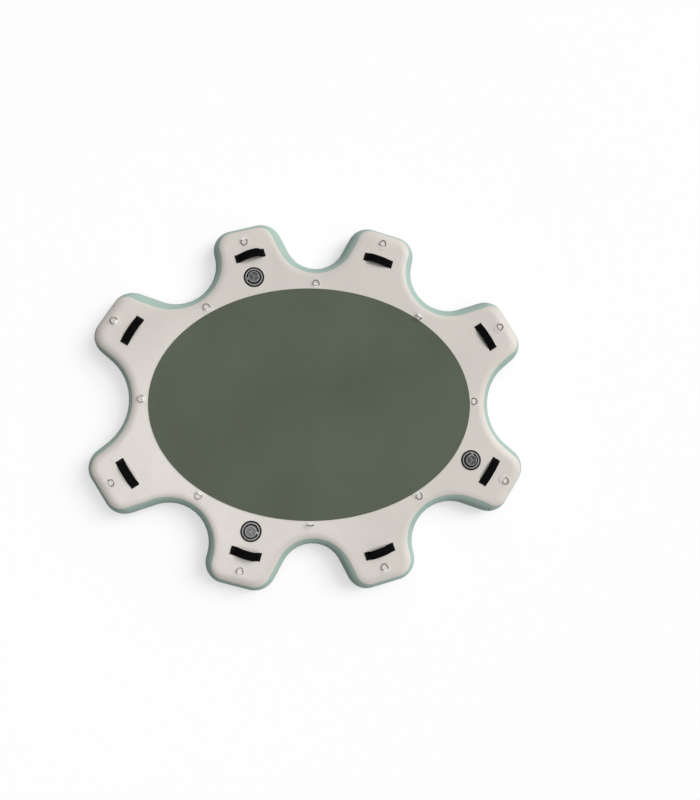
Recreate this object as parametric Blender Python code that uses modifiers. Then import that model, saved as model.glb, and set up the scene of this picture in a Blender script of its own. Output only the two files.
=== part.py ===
"""Inflatable dock platform: a gear-shaped air hull with a foam deck, handles, D-rings and valves.

Metres, +Z up. The origin is under the middle of the hull, on the face it rests on. +X runs along the hull.
"""

import math

import bmesh
import bpy
from mathutils import Vector

NAME = "inflatable_dock_platform"

# Clearance between pieces that touch, and how far a cutter or a joined shape runs into its neighbour
GAP = 0.0003
OVERRUN = 0.0005

# Hull
HULL_LENGTH = 3.0
HULL_WIDTH = 2.55
HULL_THICKNESS = 0.15
SKIN = 0.0015
WALL = 0.0015
SEAM = math.radians(20)
WALL_STEPS = 4

# Deck pad, an ellipse on the middle of the top skin: its shares of the hull's length and width
PAD_LENGTH_SHARE = 0.7367
PAD_WIDTH_SHARE = 0.6294
PAD_THICKNESS = 0.005
PAD_EDGE = 0.002
PAD_STEPS = 60

# Lobes: a straight tip between two corner arcs, square to the lobe's bearing. The end lobes stand a
# share of the hull's width off its long axis, the side lobes a share of its length off the short axis.
TIP_RADIUS = 0.1445
TIP_STRAIGHT = 0.197
TIP_STEPS = 3
END_LOBE_BEARING = math.radians(32)
END_LOBE_SHARE = 0.23725
SIDE_LOBE_BEARING = math.radians(74.6)
SIDE_LOBE_SHARE = 0.17133

# Bays: hollow arcs, each past a flat strip beside the pad. An arc's radius is a share of the largest
# that fits between the two lobes.
END_BAY_STRIP = 0.075
CORNER_BAY_STRIP = 0.080
SIDE_BAY_STRIP = 0.090
END_BAY_SHARE = 0.9635
CORNER_BAY_SHARE = 0.9954
SIDE_BAY_SHARE = 0.8821
CORNER_BAY_TURN = math.radians(48.2)
BAY_STEPS = 5

# Drop-stitch core: two base cloths joined by bundles of yarn
CLOTH = 0.001
CLOTH_MARGIN = 0.005
YARN_BUNDLE = 0.008
YARN_PITCH = 0.36
YARN_MARGIN = 0.03

# D-rings of round bar, and the webbing keepers and round patches that hold them
RING_WIDTH = 0.050
RING_DEPTH = 0.041
RING_BAR = 0.005
RING_CORNER = 0.006
RING_STEPS = 6
PATCH_RADIUS = 0.035
PATCH = 0.0016
PATCH_STEPS = 14
KEEPER_WIDTH = 0.030
KEEPER = 0.0015
KEEPER_TAIL = 0.016
KEEPER_STEPS = 3
LOBE_RING_SHARE = 0.2212
BAY_RING_OFFSET = 0.026
BAY_PATCH_OFFSET = 0.008
BAY_PATCH_TUCK = 0.042

# How far each ring stands up from lying outwards, anticlockwise from the +X side
LOBE_RING_TILTS = [math.radians(tilt) for tilt in (0, 0, 180, 0, 153, 180, 180, 0)]
BAY_RING_TILTS = [math.radians(tilt) for tilt in (0, 150, 0, 0, 0, 0, 90, 0)]

# How far each ring was glued clockwise of its lobe's or bay's middle, and outwards of its even place
LOBE_RING_SHIFTS = (
    (-0.0095, -0.002), (-0.001, -0.0035), (-0.012, 0.0035), (-0.013, 0.0005),
    (-0.003, 0.0), (-0.0075, 0.0025), (-0.016, -0.0015), (-0.019, 0.002),
)
BAY_RING_SHIFTS = (
    (-0.022, -0.008), (-0.008, -0.001), (0.0105, -0.0005), (0.027, 0.007),
    (0.014, 0.009), (0.0, -0.001), (0.011, 0.0), (0.0215, -0.004),
)

# Carrying handles of flat webbing. Each lies on a share of the room between patch and surround, with
# its own arch: how high and how far the crown leans anticlockwise. Each was glued a little off place
# and turned.
HANDLE_LENGTH = 0.208
HANDLE_WIDTH = 0.058
HANDLE_FOOT = 0.02
HANDLE_STRAP = 0.003
HANDLE_SHARE = 0.53
HANDLE_STEPS = 10
HANDLE_CROWN = 3.0
HANDLE_HEIGHTS = (0.012, 0.020, 0.040, 0.012, 0.012, 0.038, 0.032, 0.012)
HANDLE_LEAN_SHARES = (0, 0.25, -0.35, 0, 0, 0.4, -0.2, 0)
HANDLE_SHIFTS = (
    (-0.004, 0.001), (-0.0015, 0.005), (0.0025, 0.0065), (-0.0035, -0.004),
    (-0.0035, -0.0055), (-0.012, -0.005), (-0.0115, 0.001), (-0.0135, 0.004),
)
HANDLE_TURNS = [math.radians(turn) for turn in (1.5, -0.8, 1.0, 1.9, 0.9, 0.2, 3.2, 0.2)]

# Inflation valves, sized from the top skin's face
VALVE_MARGIN = 0.0497
VALVE_LOBES = (3, 6, 8)
VALVE_SHIFTS = ((-0.009, 0.0045), (-0.0035, -0.003), (-0.011, -0.0015))
TETHER_BEARINGS = [math.radians(bearing) for bearing in (197, 347, 80)]
VALVE_STEPS = 14
SURROUND_RADIUS = 0.071
SURROUND_CLEARANCE = 0.0005
SURROUND = 0.0015
SURROUND_STEPS = 24
FLANGE_RIM = 0.015
FLANGE = 0.003
BARREL_RADIUS = 0.025
BARREL_WALL = 0.0035
BARREL_DEPTH = 0.042
NUT_RIM = 0.007
NUT = 0.006
SEAT_LEDGE = 0.0065
SEAT = 0.003
HUB_RADIUS = 0.007
HUB_HEIGHT = 0.005
SPOKE_WIDTH = 0.004
SPOKES = 3

# Plunger that opens the valve when its button is pushed down, and the spring that lifts it
PLUNGER_TRAVEL = 0.006
BUTTON_RADIUS = 0.01
BUTTON_HEIGHT = 0.004
BUTTON_DEPTH = 0.006
STEM_RADIUS = 0.004
STEM_CLEARANCE = 0.0005
POPPET_LAP = 0.003
POPPET = 0.004
PLUNGER_STEPS = 10
SPRING_RADIUS = 0.0065
SPRING_WIRE = 0.0012
SPRING_TURNS = 3
SPRING_STEPS = 8
SPRING_PUSHED = 0.011

# Screw cap with three finger hollows
CAP_RADIUS = 0.038
CAP_HEIGHT = 0.010
CAP_EDGE = 0.0015
CAP_RIM = 0.006
CAP_RIB = 0.007
CAP_HOLLOW = 0.0065
CAP_HUB_RADIUS = 0.006
CAP_STEPS = 20
HOLLOWS = 3
HOLLOW_STEPS = 4
SKIRT_CLEARANCE = 0.0003
SKIRT = 0.0025
SKIRT_DEPTH = 0.009
TAIL_LENGTH = 0.014
TAIL_WIDTH = 0.014
TAIL = 0.002

# Places that follow from the sizes
PAD_LENGTH = PAD_LENGTH_SHARE * HULL_LENGTH
PAD_WIDTH = PAD_WIDTH_SHARE * HULL_WIDTH
SKIN_RADIUS = HULL_THICKNESS / 2
WALL_RADIUS = SKIN_RADIUS - SKIN - GAP
BAR_RADIUS = RING_BAR / 2
BAR_HEIGHT = GAP + PATCH + GAP + BAR_RADIUS
FLANGE_TOP = GAP + FLANGE
CAP_BASE = FLANGE_TOP + GAP
NUT_TOP = -(SKIN + GAP + CLOTH + GAP)
BARREL_BOTTOM = -BARREL_DEPTH
BUTTON_BOTTOM = -BUTTON_DEPTH - BUTTON_HEIGHT
HUB_TOP = BUTTON_BOTTOM - PLUNGER_TRAVEL - SPRING_PUSHED
POPPET_TOP = BARREL_BOTTOM - GAP
BARREL_BORE = BARREL_RADIUS - BARREL_WALL
SEAT_BORE = BARREL_BORE - SEAT_LEDGE
POPPET_RADIUS = SEAT_BORE + POPPET_LAP
NUT_RADIUS = BARREL_RADIUS + NUT_RIM
FLANGE_RADIUS = BARREL_RADIUS + FLANGE_RIM
SURROUND_BORE = FLANGE_RADIUS + SURROUND_CLEARANCE
BORE_RADIUS = (BARREL_RADIUS + GAP) / math.cos(math.pi / VALVE_STEPS)


def clear_scene():
    for item in list(bpy.data.objects):
        bpy.data.objects.remove(item)


def collection(name):
    made = bpy.data.collections.new(name)
    bpy.context.scene.collection.children.link(made)
    return made


clear_scene()
PARTS = collection(NAME)
CUTTERS = collection("cutters")


def finish(name, colour, roughness, metallic=0.0):
    """A plain material with the piece's colour."""
    made = bpy.data.materials.new(name)
    made.use_nodes = True
    shader = made.node_tree.nodes["Principled BSDF"]
    shader.inputs["Base Color"].default_value = (*colour, 1.0)
    shader.inputs["Roughness"].default_value = roughness
    shader.inputs["Metallic"].default_value = metallic
    return made


CREAM = finish("cream_skin", (0.70, 0.67, 0.63), 0.45)
CREAM_UNDER = finish("cream_underside", (0.66, 0.63, 0.59), 0.5)
CREAM_PATCH = finish("cream_patch", (0.72, 0.69, 0.65), 0.5)
MINT = finish("mint_side_wall", (0.34, 0.46, 0.41), 0.45)
CLOTH_WHITE = finish("base_cloth", (0.75, 0.75, 0.73), 0.9)
SAGE = finish("sage_foam", (0.10, 0.13, 0.09), 0.85)
WEBBING = finish("black_webbing", (0.012, 0.012, 0.013), 0.8)
STEEL = finish("stainless_steel", (0.62, 0.61, 0.60), 0.25, 1.0)
PRINT = finish("black_surround", (0.02, 0.02, 0.022), 0.6)
GREY = finish("grey_plastic", (0.18, 0.18, 0.19), 0.5)
DARK = finish("dark_plastic", (0.05, 0.05, 0.055), 0.5)
SPRING_STEEL = finish("spring_steel", (0.5, 0.5, 0.5), 0.3, 1.0)


def frame(name, place, bearing):
    """An empty on the top skin: its Y axis points along the bearing, its Z axis up."""
    made = bpy.data.objects.new(name, None)
    PARTS.objects.link(made)
    made.location = (place.x, place.y, HULL_THICKNESS)
    made.rotation_euler = (0, 0, bearing - math.pi / 2)
    return made


def add_object(name, data, material, parent=None, group=PARTS):
    made = bpy.data.objects.new(name, data)
    group.objects.link(made)
    made.parent = parent
    if material and not data.materials:
        data.materials.append(material)
    if group is CUTTERS:
        made.hide_render = True
        made.display_type = "WIRE"
    return made


def mesh_from(name, shape, smooth=None):
    """A mesh from a bmesh, shaded smooth up to an angle where one is given."""
    data = bpy.data.meshes.new(name)
    shape.to_mesh(data)
    shape.free()
    if smooth:
        data.shade_smooth()
        data.set_sharp_from_angle(angle=smooth)
    return data


ROUND = math.radians(40)


def solidify(target, thickness, offset):
    shell = target.modifiers.new("thickness", "SOLIDIFY")
    shell.thickness = thickness
    shell.offset = offset
    shell.use_even_offset = True
    shell.use_quality_normals = True


def boolean(target, operand, operation):
    step = target.modifiers.new(operation.lower(), "BOOLEAN")
    step.object = operand
    step.operation = operation
    step.solver = "EXACT"


def turn(target, steps):
    """Screws a profile that runs down its outer side once round the Z axis."""
    screw = target.modifiers.new("turn", "SCREW")
    screw.angle = 2 * math.pi
    screw.steps = steps
    screw.render_steps = steps
    screw.use_merge_vertices = True
    screw.merge_threshold = OVERRUN / 10
    screw.use_smooth_shade = False


def profile_mesh(name, points, closed):
    """A mesh of edges through (radius, height) points in the XZ plane."""
    shape = bmesh.new()
    corners = [shape.verts.new((radius, 0, height)) for radius, height in points]
    for low, high in zip(corners, corners[1:]):
        shape.edges.new((low, high))
    if closed:
        shape.edges.new((corners[-1], corners[0]))
    return mesh_from(name, shape)


def extrude_outline(shape, outline, low, high):
    """A closed plate from an anticlockwise outline, from one height to another."""
    face = shape.faces.new([shape.verts.new((x, y, low)) for x, y in outline])
    raised = bmesh.ops.extrude_face_region(shape, geom=[face])["geom"]
    lifted = [item for item in raised if isinstance(item, bmesh.types.BMVert)]
    bmesh.ops.translate(shape, verts=lifted, vec=(0, 0, high - low))
    bmesh.ops.recalc_face_normals(shape, faces=shape.faces)


def cylinder(shape, centre, radius, low, high, steps):
    """A closed cylinder in a bmesh, upright over a centre."""
    made = bmesh.ops.create_cone(
        shape, cap_ends=True, segments=steps, radius1=radius, radius2=radius, depth=high - low
    )
    bmesh.ops.translate(shape, verts=made["verts"], vec=(centre[0], centre[1], (low + high) / 2))


def box(shape, low, high):
    """A closed box in a bmesh between two corners."""
    size = Vector(high) - Vector(low)
    made = bmesh.ops.create_cube(shape, size=1)
    bmesh.ops.scale(shape, verts=made["verts"], vec=size)
    bmesh.ops.translate(shape, verts=made["verts"], vec=(Vector(low) + Vector(high)) / 2)


def arc(centre, radius, start, stop, steps):
    """Points along an arc, both ends included."""
    turns = [start + (stop - start) * step / steps for step in range(steps + 1)]
    return [(centre[0] + radius * math.cos(t), centre[1] + radius * math.sin(t)) for t in turns]


def direction(bearing):
    return Vector((math.cos(bearing), math.sin(bearing)))


def pad_edge(turn_angle):
    """A point on the pad's edge and the direction square to it there."""
    long_half, short_half = PAD_LENGTH / 2, PAD_WIDTH / 2
    point = Vector((long_half * math.cos(turn_angle), short_half * math.sin(turn_angle)))
    out = Vector((short_half * math.cos(turn_angle), long_half * math.sin(turn_angle)))
    return point, out.normalized()


def end_tip():
    """Middle of the tip of the lobe at +X +Y that reaches the hull's length."""
    bearing = END_LOBE_BEARING
    rounding = TIP_RADIUS * (1 - math.cos(bearing)) + TIP_STRAIGHT / 2 * math.sin(bearing)
    return Vector((HULL_LENGTH / 2 - rounding, END_LOBE_SHARE * HULL_WIDTH))


def side_tip():
    """Middle of the tip of the lobe at +X +Y that reaches the hull's width."""
    bearing = SIDE_LOBE_BEARING
    rounding = TIP_RADIUS * (1 - math.sin(bearing)) + TIP_STRAIGHT / 2 * math.cos(bearing)
    return Vector((SIDE_LOBE_SHARE * HULL_LENGTH, HULL_WIDTH / 2 - rounding))


def lobes():
    """Tip and bearing of each lobe, anticlockwise from the +X side."""
    quarter = [(end_tip(), END_LOBE_BEARING), (side_tip(), SIDE_LOBE_BEARING)]
    found = list(quarter)
    for tip, bearing in reversed(quarter):
        found.append((Vector((-tip.x, tip.y)), math.pi - bearing))
    for tip, bearing in quarter:
        found.append((-tip, math.pi + bearing))
    for tip, bearing in reversed(quarter):
        found.append((Vector((tip.x, -tip.y)), -bearing))
    return found


def bays():
    """Point on the pad's edge facing each bay, and the bay's bearing, anticlockwise from +X."""
    quarter = CORNER_BAY_TURN
    turns = [0, quarter, math.pi / 2, math.pi - quarter]
    turns += [math.pi + angle for angle in turns]
    found = []
    for angle in turns:
        point, out = pad_edge(angle)
        found.append((point, math.atan2(out.y, out.x)))
    return found


def lobe_corners():
    """Centres of the two arcs at each lobe's tip, the clockwise one first."""
    found = []
    for tip, bearing in lobes():
        out = direction(bearing)
        along = Vector((-out.y, out.x)) * TIP_STRAIGHT / 2
        middle = tip - out * TIP_RADIUS
        found.append((middle - along, middle + along))
    return found


def bay_radius(start, out, corners, share):
    """A share of the largest arc that starts at a point and clears the arcs of both lobes."""
    largest = []
    for corner in corners:
        reach = corner - start
        largest.append((reach.length_squared - TIP_RADIUS**2) / (TIP_RADIUS + out.dot(reach)) / 2)
    return share * min(largest)


def hull_arcs():
    """Centres and signed radii of the outline's arcs, anticlockwise from the bay at +X.

    A corner of a tip bulges and has a positive radius. A bay is hollow and has a negative one.
    """
    found = []
    corners = lobe_corners()
    shapes = ((END_BAY_STRIP, END_BAY_SHARE), (CORNER_BAY_STRIP, CORNER_BAY_SHARE))
    shapes += ((SIDE_BAY_STRIP, SIDE_BAY_SHARE), (CORNER_BAY_STRIP, CORNER_BAY_SHARE))
    for number, (edge, bearing) in enumerate(bays()):
        strip, share = shapes[number % len(shapes)]
        out = direction(bearing)
        start = edge + out * (strip + SKIN_RADIUS)
        radius = bay_radius(start, out, (corners[number - 1][1], corners[number][0]), share)
        found.append((start + out * radius, -radius))
        found += [(corner, TIP_RADIUS) for corner in corners[number]]
    return found


def stations():
    """Points on the widest line of the side wall, each with its outward direction."""
    arcs = hull_arcs()
    headings = []
    for (centre, radius), (after, next_radius) in zip(arcs, arcs[1:] + arcs[:1]):
        line = after - centre
        lean = math.acos((radius - next_radius) / line.length)
        headings.append(math.atan2(line.y, line.x) - lean)
    found = []
    for number, (centre, radius) in enumerate(arcs):
        start = headings[number - 1]
        sweep = (headings[number] - start + math.pi) % (2 * math.pi) - math.pi
        steps = TIP_STEPS if radius > 0 else BAY_STEPS
        for step in range(steps + 1):
            out = direction(start + sweep * step / steps)
            found.append((centre + out * radius, out))
    return found


STATIONS = stations()


def inset_outline(inset):
    """The outline moved inwards from the side wall's widest line."""
    return [tuple(point - out * inset) for point, out in STATIONS]


def inside(outline, x, y):
    """Whether a point lies within an outline."""
    crossings = 0
    for (ax, ay), (bx, by) in zip(outline, outline[1:] + outline[:1]):
        if (ay > y) != (by > y) and x < ax + (y - ay) * (bx - ax) / (by - ay):
            crossings += 1
    return crossings % 2 == 1


def rail_ring(shape, radius, angle):
    """Corners round the hull at one angle from straight up about the rail's centre line."""
    ring = []
    for point, out in STATIONS:
        place = point + out * (radius * math.sin(angle) - WALL_RADIUS)
        ring.append(shape.verts.new((place.x, place.y, SKIN_RADIUS + radius * math.cos(angle))))
    return ring


def join_rings(shape, upper, lower):
    """Faces between two rings, facing out."""
    count = len(upper)
    for number in range(count):
        after = (number + 1) % count
        shape.faces.new((upper[number], lower[number], lower[after], upper[after]))


def skin(name, material, below):
    """A flat sheet over the hull's top or bottom whose rim turns over the side wall."""
    shape = bmesh.new()
    if below:
        upper, lower = (rail_ring(shape, SKIN_RADIUS, math.pi - angle) for angle in (SEAM, 0))
        shape.faces.new(list(reversed(lower)))
    else:
        upper, lower = (rail_ring(shape, SKIN_RADIUS, angle) for angle in (0, SEAM))
        shape.faces.new(upper)
    join_rings(shape, upper, lower)
    made = add_object(name, mesh_from(name, shape, ROUND), material)
    solidify(made, SKIN, -1)
    return made


def side_wall():
    """The band round the hull. Its laps run half way up under both skins' flat rims."""
    shape = bmesh.new()
    span = math.pi - 2 * SEAM
    lap, lap_radius = SEAM / 2, WALL_RADIUS * math.cos(SEAM / 2)
    rings = [rail_ring(shape, lap_radius, lap)]
    for step in range(WALL_STEPS + 1):
        rings.append(rail_ring(shape, WALL_RADIUS, SEAM + span * step / WALL_STEPS))
    rings.append(rail_ring(shape, lap_radius, math.pi - lap))
    for upper, lower in zip(rings, rings[1:]):
        join_rings(shape, upper, lower)
    made = add_object("side_wall", mesh_from("side_wall", shape, ROUND), MINT)
    solidify(made, WALL, -1)


def lobe_reach(tip, bearing):
    """Distance from a lobe's tip back along its bearing to the pad's edge."""
    out = direction(bearing)
    start = Vector((tip.x / PAD_LENGTH, tip.y / PAD_WIDTH)) * 2
    step = Vector((out.x / PAD_LENGTH, out.y / PAD_WIDTH)) * -2
    middle = -start.dot(step) / step.length_squared
    nearest = (start + step * middle).length_squared
    return middle - math.sqrt((1 - nearest) / step.length_squared)


def shifted(place, bearing, outwards, shift):
    """A place moved outwards along a bearing, and by a glued piece's own shift."""
    clockwise, further = shift
    out = direction(bearing)
    return place + out * (outwards + further) + Vector((out.y, -out.x)) * clockwise


def ring_places():
    """Middle of each ring's bar, its bearing and its tilt: those on the lobes, then in the bays."""
    found = []
    for (tip, bearing), shift, tilt in zip(lobes(), LOBE_RING_SHIFTS, LOBE_RING_TILTS):
        inset = LOBE_RING_SHARE * lobe_reach(tip, bearing)
        found.append((shifted(tip, bearing, -inset, shift), bearing, tilt))
    for (edge, bearing), shift, tilt in zip(bays(), BAY_RING_SHIFTS, BAY_RING_TILTS):
        found.append((shifted(edge, bearing, BAY_RING_OFFSET, shift), bearing, tilt))
    return found


def handle_places():
    """Middle of each handle and the way it faces, between the patch and a valve's surround."""
    found = []
    for (tip, bearing), shift, turn in zip(lobes(), HANDLE_SHIFTS, HANDLE_TURNS):
        reach = lobe_reach(tip, bearing)
        near = LOBE_RING_SHARE * reach + PATCH_RADIUS
        far = reach - VALVE_MARGIN - 2 * SURROUND_RADIUS
        inset = near + HANDLE_SHARE * (far - near)
        found.append((shifted(tip, bearing, -inset, shift), bearing + turn))
    return found


def valve_places():
    """Centre of each valve and its lobe's bearing, beside the pad."""
    found = []
    for lobe, shift in zip(VALVE_LOBES, VALVE_SHIFTS):
        tip, bearing = lobes()[lobe - 1]
        inset = lobe_reach(tip, bearing) - VALVE_MARGIN - SURROUND_RADIUS
        found.append((shifted(tip, bearing, -inset, shift), bearing))
    return found


def valve_bores():
    """Cutter for the holes that the valves' barrels pass through."""
    shape = bmesh.new()
    for place, _ in valve_places():
        low = HULL_THICKNESS + NUT_TOP - OVERRUN
        cylinder(shape, place, BORE_RADIUS, low, HULL_THICKNESS + OVERRUN, VALVE_STEPS)
    return add_object("valve_bores", mesh_from("valve_bores", shape), None, group=CUTTERS)


def yarn_places():
    """Grid of yarn bundles inside the hull, clear of its edge and of the valves."""
    edge = inset_outline(WALL_RADIUS + YARN_MARGIN)
    columns = int(HULL_LENGTH / 2 / YARN_PITCH) + 1
    rows = int(HULL_WIDTH / 2 / YARN_PITCH) + 1
    found = []
    for column in range(-columns, columns + 1):
        for row in range(-rows, rows + 1):
            place = Vector((column, row)) * YARN_PITCH
            near = min((place - valve).length for valve, _ in valve_places())
            if inside(edge, place.x, place.y) and near > NUT_RADIUS + YARN_MARGIN:
                found.append(place)
    return found


def drop_stitch_core(bores):
    """Two base cloths held at the hull's thickness by bundles of yarn."""
    top = HULL_THICKNESS - SKIN - GAP
    bottom = SKIN + GAP
    outline = inset_outline(WALL_RADIUS + CLOTH_MARGIN)
    shape = bmesh.new()
    extrude_outline(shape, outline, bottom, bottom + CLOTH)
    extrude_outline(shape, outline, top - CLOTH, top)
    core = add_object("drop_stitch_core", mesh_from("drop_stitch_core", shape), CLOTH_WHITE)
    yarns = bmesh.new()
    half = YARN_BUNDLE / 2
    for place in yarn_places():
        low = (place.x - half, place.y - half, bottom + CLOTH / 2)
        box(yarns, low, (place.x + half, place.y + half, top - CLOTH / 2))
    bundles = add_object("yarn_bundles", mesh_from("yarn_bundles", yarns), None, group=CUTTERS)
    boolean(core, bundles, "UNION")
    boolean(core, bores, "DIFFERENCE")


def ellipse(margin):
    """The pad's outline, grown by a margin."""
    count = PAD_STEPS
    turns = [2 * math.pi * step / count for step in range(count)]
    long_half, short_half = PAD_LENGTH / 2 + margin, PAD_WIDTH / 2 + margin
    return [(long_half * math.cos(t), short_half * math.sin(t)) for t in turns]


def deck_pad():
    """Foam deck with a bevelled top edge."""
    low = HULL_THICKNESS + GAP
    shape = bmesh.new()
    extrude_outline(shape, ellipse(0), low, low + PAD_THICKNESS)
    weight = shape.edges.layers.float.new("bevel_weight_edge")
    for edge in shape.edges:
        if all(corner.co.z > low + PAD_EDGE for corner in edge.verts):
            edge[weight] = 1.0
    made = add_object("deck_pad", mesh_from("deck_pad", shape), SAGE)
    rounding = made.modifiers.new("edge", "BEVEL")
    rounding.limit_method = "WEIGHT"
    rounding.width = PAD_EDGE
    rounding.segments = 1


def ring_curve():
    """A D of round bar in the XY plane: its straight side lies on the X axis."""
    half = (RING_WIDTH - RING_BAR) / 2
    reach = RING_DEPTH - RING_BAR - RING_CORNER
    points = [(-half + RING_CORNER, 0), (half - RING_CORNER, 0)]
    for step in range(RING_STEPS + 1):
        angle = math.pi * step / RING_STEPS
        points.append((half * math.cos(angle), RING_CORNER + reach * math.sin(angle)))
    curve = bpy.data.curves.new("d_ring", "CURVE")
    curve.dimensions = "3D"
    curve.bevel_depth = BAR_RADIUS
    curve.bevel_resolution = 1
    bar = curve.splines.new("POLY")
    bar.points.add(len(points) - 1)
    for point, (x, y) in zip(bar.points, points):
        point.co = (x, y, 0, 1)
    bar.use_cyclic_u = True
    bar.use_smooth = True
    curve.materials.append(STEEL)
    return curve


def keeper_mesh():
    """A loop of webbing over a ring's bar, with its tail along -Y. The bar lies on the X axis."""
    base = -BAR_RADIUS - GAP
    inner = (BAR_RADIUS + GAP) / math.cos(math.pi / 2 / KEEPER_STEPS)
    outer = inner + KEEPER
    section = [(inner, base - OVERRUN)]
    section += arc((0, 0), inner, 0, math.pi, KEEPER_STEPS)
    section += [(-inner, base - OVERRUN), (-KEEPER_TAIL, base - OVERRUN)]
    section += [(-KEEPER_TAIL, base + KEEPER), (-outer - KEEPER, base + KEEPER)]
    section += arc((0, 0), outer, math.pi, 0, KEEPER_STEPS)
    section += [(outer, base - OVERRUN)]
    shape = bmesh.new()
    face = shape.faces.new([shape.verts.new((-KEEPER_WIDTH / 2, y, z)) for y, z in section])
    raised = bmesh.ops.extrude_face_region(shape, geom=[face])["geom"]
    moved = [item for item in raised if isinstance(item, bmesh.types.BMVert)]
    bmesh.ops.translate(shape, verts=moved, vec=(KEEPER_WIDTH, 0, 0))
    bmesh.ops.recalc_face_normals(shape, faces=shape.faces)
    return mesh_from("keeper", shape, ROUND)


def patch_mesh(name, outline):
    shape = bmesh.new()
    extrude_outline(shape, outline, GAP, GAP + PATCH)
    return mesh_from(name, shape)


def lobe_patch_outline():
    """A round patch centred under the bar."""
    return arc((0, 0), PATCH_RADIUS, 0, 2 * math.pi, PATCH_STEPS)[:-1]


def bay_patch_outline():
    """A patch with a round outer end, whose inner end runs on to the pad's edge."""
    rounded = arc((0, BAY_PATCH_OFFSET), PATCH_RADIUS, 0, math.pi, PATCH_STEPS // 2)
    return rounded + [(-PATCH_RADIUS, -BAY_PATCH_TUCK), (PATCH_RADIUS, -BAY_PATCH_TUCK)]


def ring_on_patch(number, parent, tilt, patch, shared):
    """A D-ring, its keeper and its patch, in a frame under the middle of the ring's bar."""
    ring_data, keeper_data = shared
    ring = add_object(f"d_ring_{number}", ring_data, STEEL, parent)
    ring.location = (0, 0, BAR_HEIGHT)
    ring.rotation_euler = (tilt, 0, 0)
    base = add_object(f"d_ring_patch_{number}", patch, CREAM_PATCH, parent)
    keeper = add_object(f"keeper_{number}", keeper_data, None, parent, CUTTERS)
    keeper.location = (0, 0, BAR_HEIGHT)
    lies_inward = tilt > math.pi / 2
    keeper.rotation_euler = (0, 0, math.pi if lies_inward else 0)
    boolean(base, keeper, "UNION")
    return base


def pad_clearance():
    """Cutter that keeps the patches in the bays off the pad's edge."""
    shape = bmesh.new()
    low = HULL_THICKNESS - OVERRUN
    extrude_outline(shape, ellipse(GAP), low, low + PAD_THICKNESS)
    return add_object("pad_clearance", mesh_from("pad_clearance", shape), None, group=CUTTERS)


def handle_line(height, lean):
    """The strap's underside as (along, up) points: two flat feet and the arch between them."""
    run = HANDLE_LENGTH / 2 - HANDLE_FOOT
    line = [(-HANDLE_LENGTH / 2, GAP)]
    for step in range(HANDLE_STEPS + 1):
        share = 2 * step / HANDLE_STEPS - 1
        skewed = share + lean * (1 - share**2)
        line.append((run * share, GAP + height * (1 - abs(skewed) ** HANDLE_CROWN)))
    line.append((HANDLE_LENGTH / 2, GAP))
    return line


def handle(number, parent):
    """A strip along the strap's underside that Solidify thickens upwards."""
    line = handle_line(HANDLE_HEIGHTS[number - 1], HANDLE_LEAN_SHARES[number - 1])
    shape = bmesh.new()
    half = HANDLE_WIDTH / 2
    pairs = [[shape.verts.new((x, side, z)) for side in (-half, half)] for x, z in line]
    for (a, b), (c, d) in zip(pairs, pairs[1:]):
        shape.faces.new((a, c, d, b))
    name = f"handle_{number}"
    made = add_object(name, mesh_from(name, shape, ROUND), WEBBING, parent)
    solidify(made, HANDLE_STRAP, 1)


def valve_surround(name, parent):
    """The printed ring glued round the valve."""
    low, high = GAP, GAP + SURROUND
    points = [(SURROUND_BORE, high), (SURROUND_RADIUS, high), (SURROUND_RADIUS, low)]
    points.append((SURROUND_BORE, low))
    made = add_object(name, profile_mesh(name, points, True), PRINT, parent)
    turn(made, SURROUND_STEPS)


def valve_body(name, parent):
    """Flange, barrel, clamping nut and seat in one turned piece, with a spider for the plunger."""
    nut_bottom = NUT_TOP - NUT
    seat_top = BARREL_BOTTOM + SEAT
    points = [(BARREL_BORE, FLANGE_TOP), (FLANGE_RADIUS, FLANGE_TOP), (FLANGE_RADIUS, GAP)]
    points += [(BARREL_RADIUS, GAP), (BARREL_RADIUS, NUT_TOP), (NUT_RADIUS, NUT_TOP)]
    points += [(NUT_RADIUS, nut_bottom), (BARREL_RADIUS, nut_bottom)]
    points += [(BARREL_RADIUS, BARREL_BOTTOM), (SEAT_BORE, BARREL_BOTTOM)]
    points += [(SEAT_BORE, seat_top), (BARREL_BORE, seat_top)]
    made = add_object(name, profile_mesh(name, points, True), DARK, parent)
    turn(made, VALVE_STEPS)
    hub_bottom = HUB_TOP - HUB_HEIGHT
    for spoke in range(SPOKES):
        shape = bmesh.new()
        reach = (BARREL_BORE + BARREL_RADIUS) / 2
        box(shape, (0, -SPOKE_WIDTH / 2, hub_bottom), (reach, SPOKE_WIDTH / 2, HUB_TOP - OVERRUN))
        arm = add_object(f"{name}_spoke_{spoke}", mesh_from("spoke", shape), None, parent, CUTTERS)
        arm.rotation_euler = (0, 0, 2 * math.pi * spoke / SPOKES)
        boolean(made, arm, "UNION")
    shape = bmesh.new()
    cylinder(shape, (0, 0), HUB_RADIUS, hub_bottom - OVERRUN, HUB_TOP, PLUNGER_STEPS)
    hub = add_object(f"{name}_hub", mesh_from("hub", shape), None, parent, CUTTERS)
    boolean(made, hub, "UNION")
    shape = bmesh.new()
    reach = STEM_RADIUS + STEM_CLEARANCE
    cylinder(shape, (0, 0), reach, hub_bottom - HUB_HEIGHT, HUB_TOP + HUB_HEIGHT, PLUNGER_STEPS)
    bore = add_object(f"{name}_hub_bore", mesh_from("hub_bore", shape), None, parent, CUTTERS)
    boolean(made, bore, "DIFFERENCE")


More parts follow.
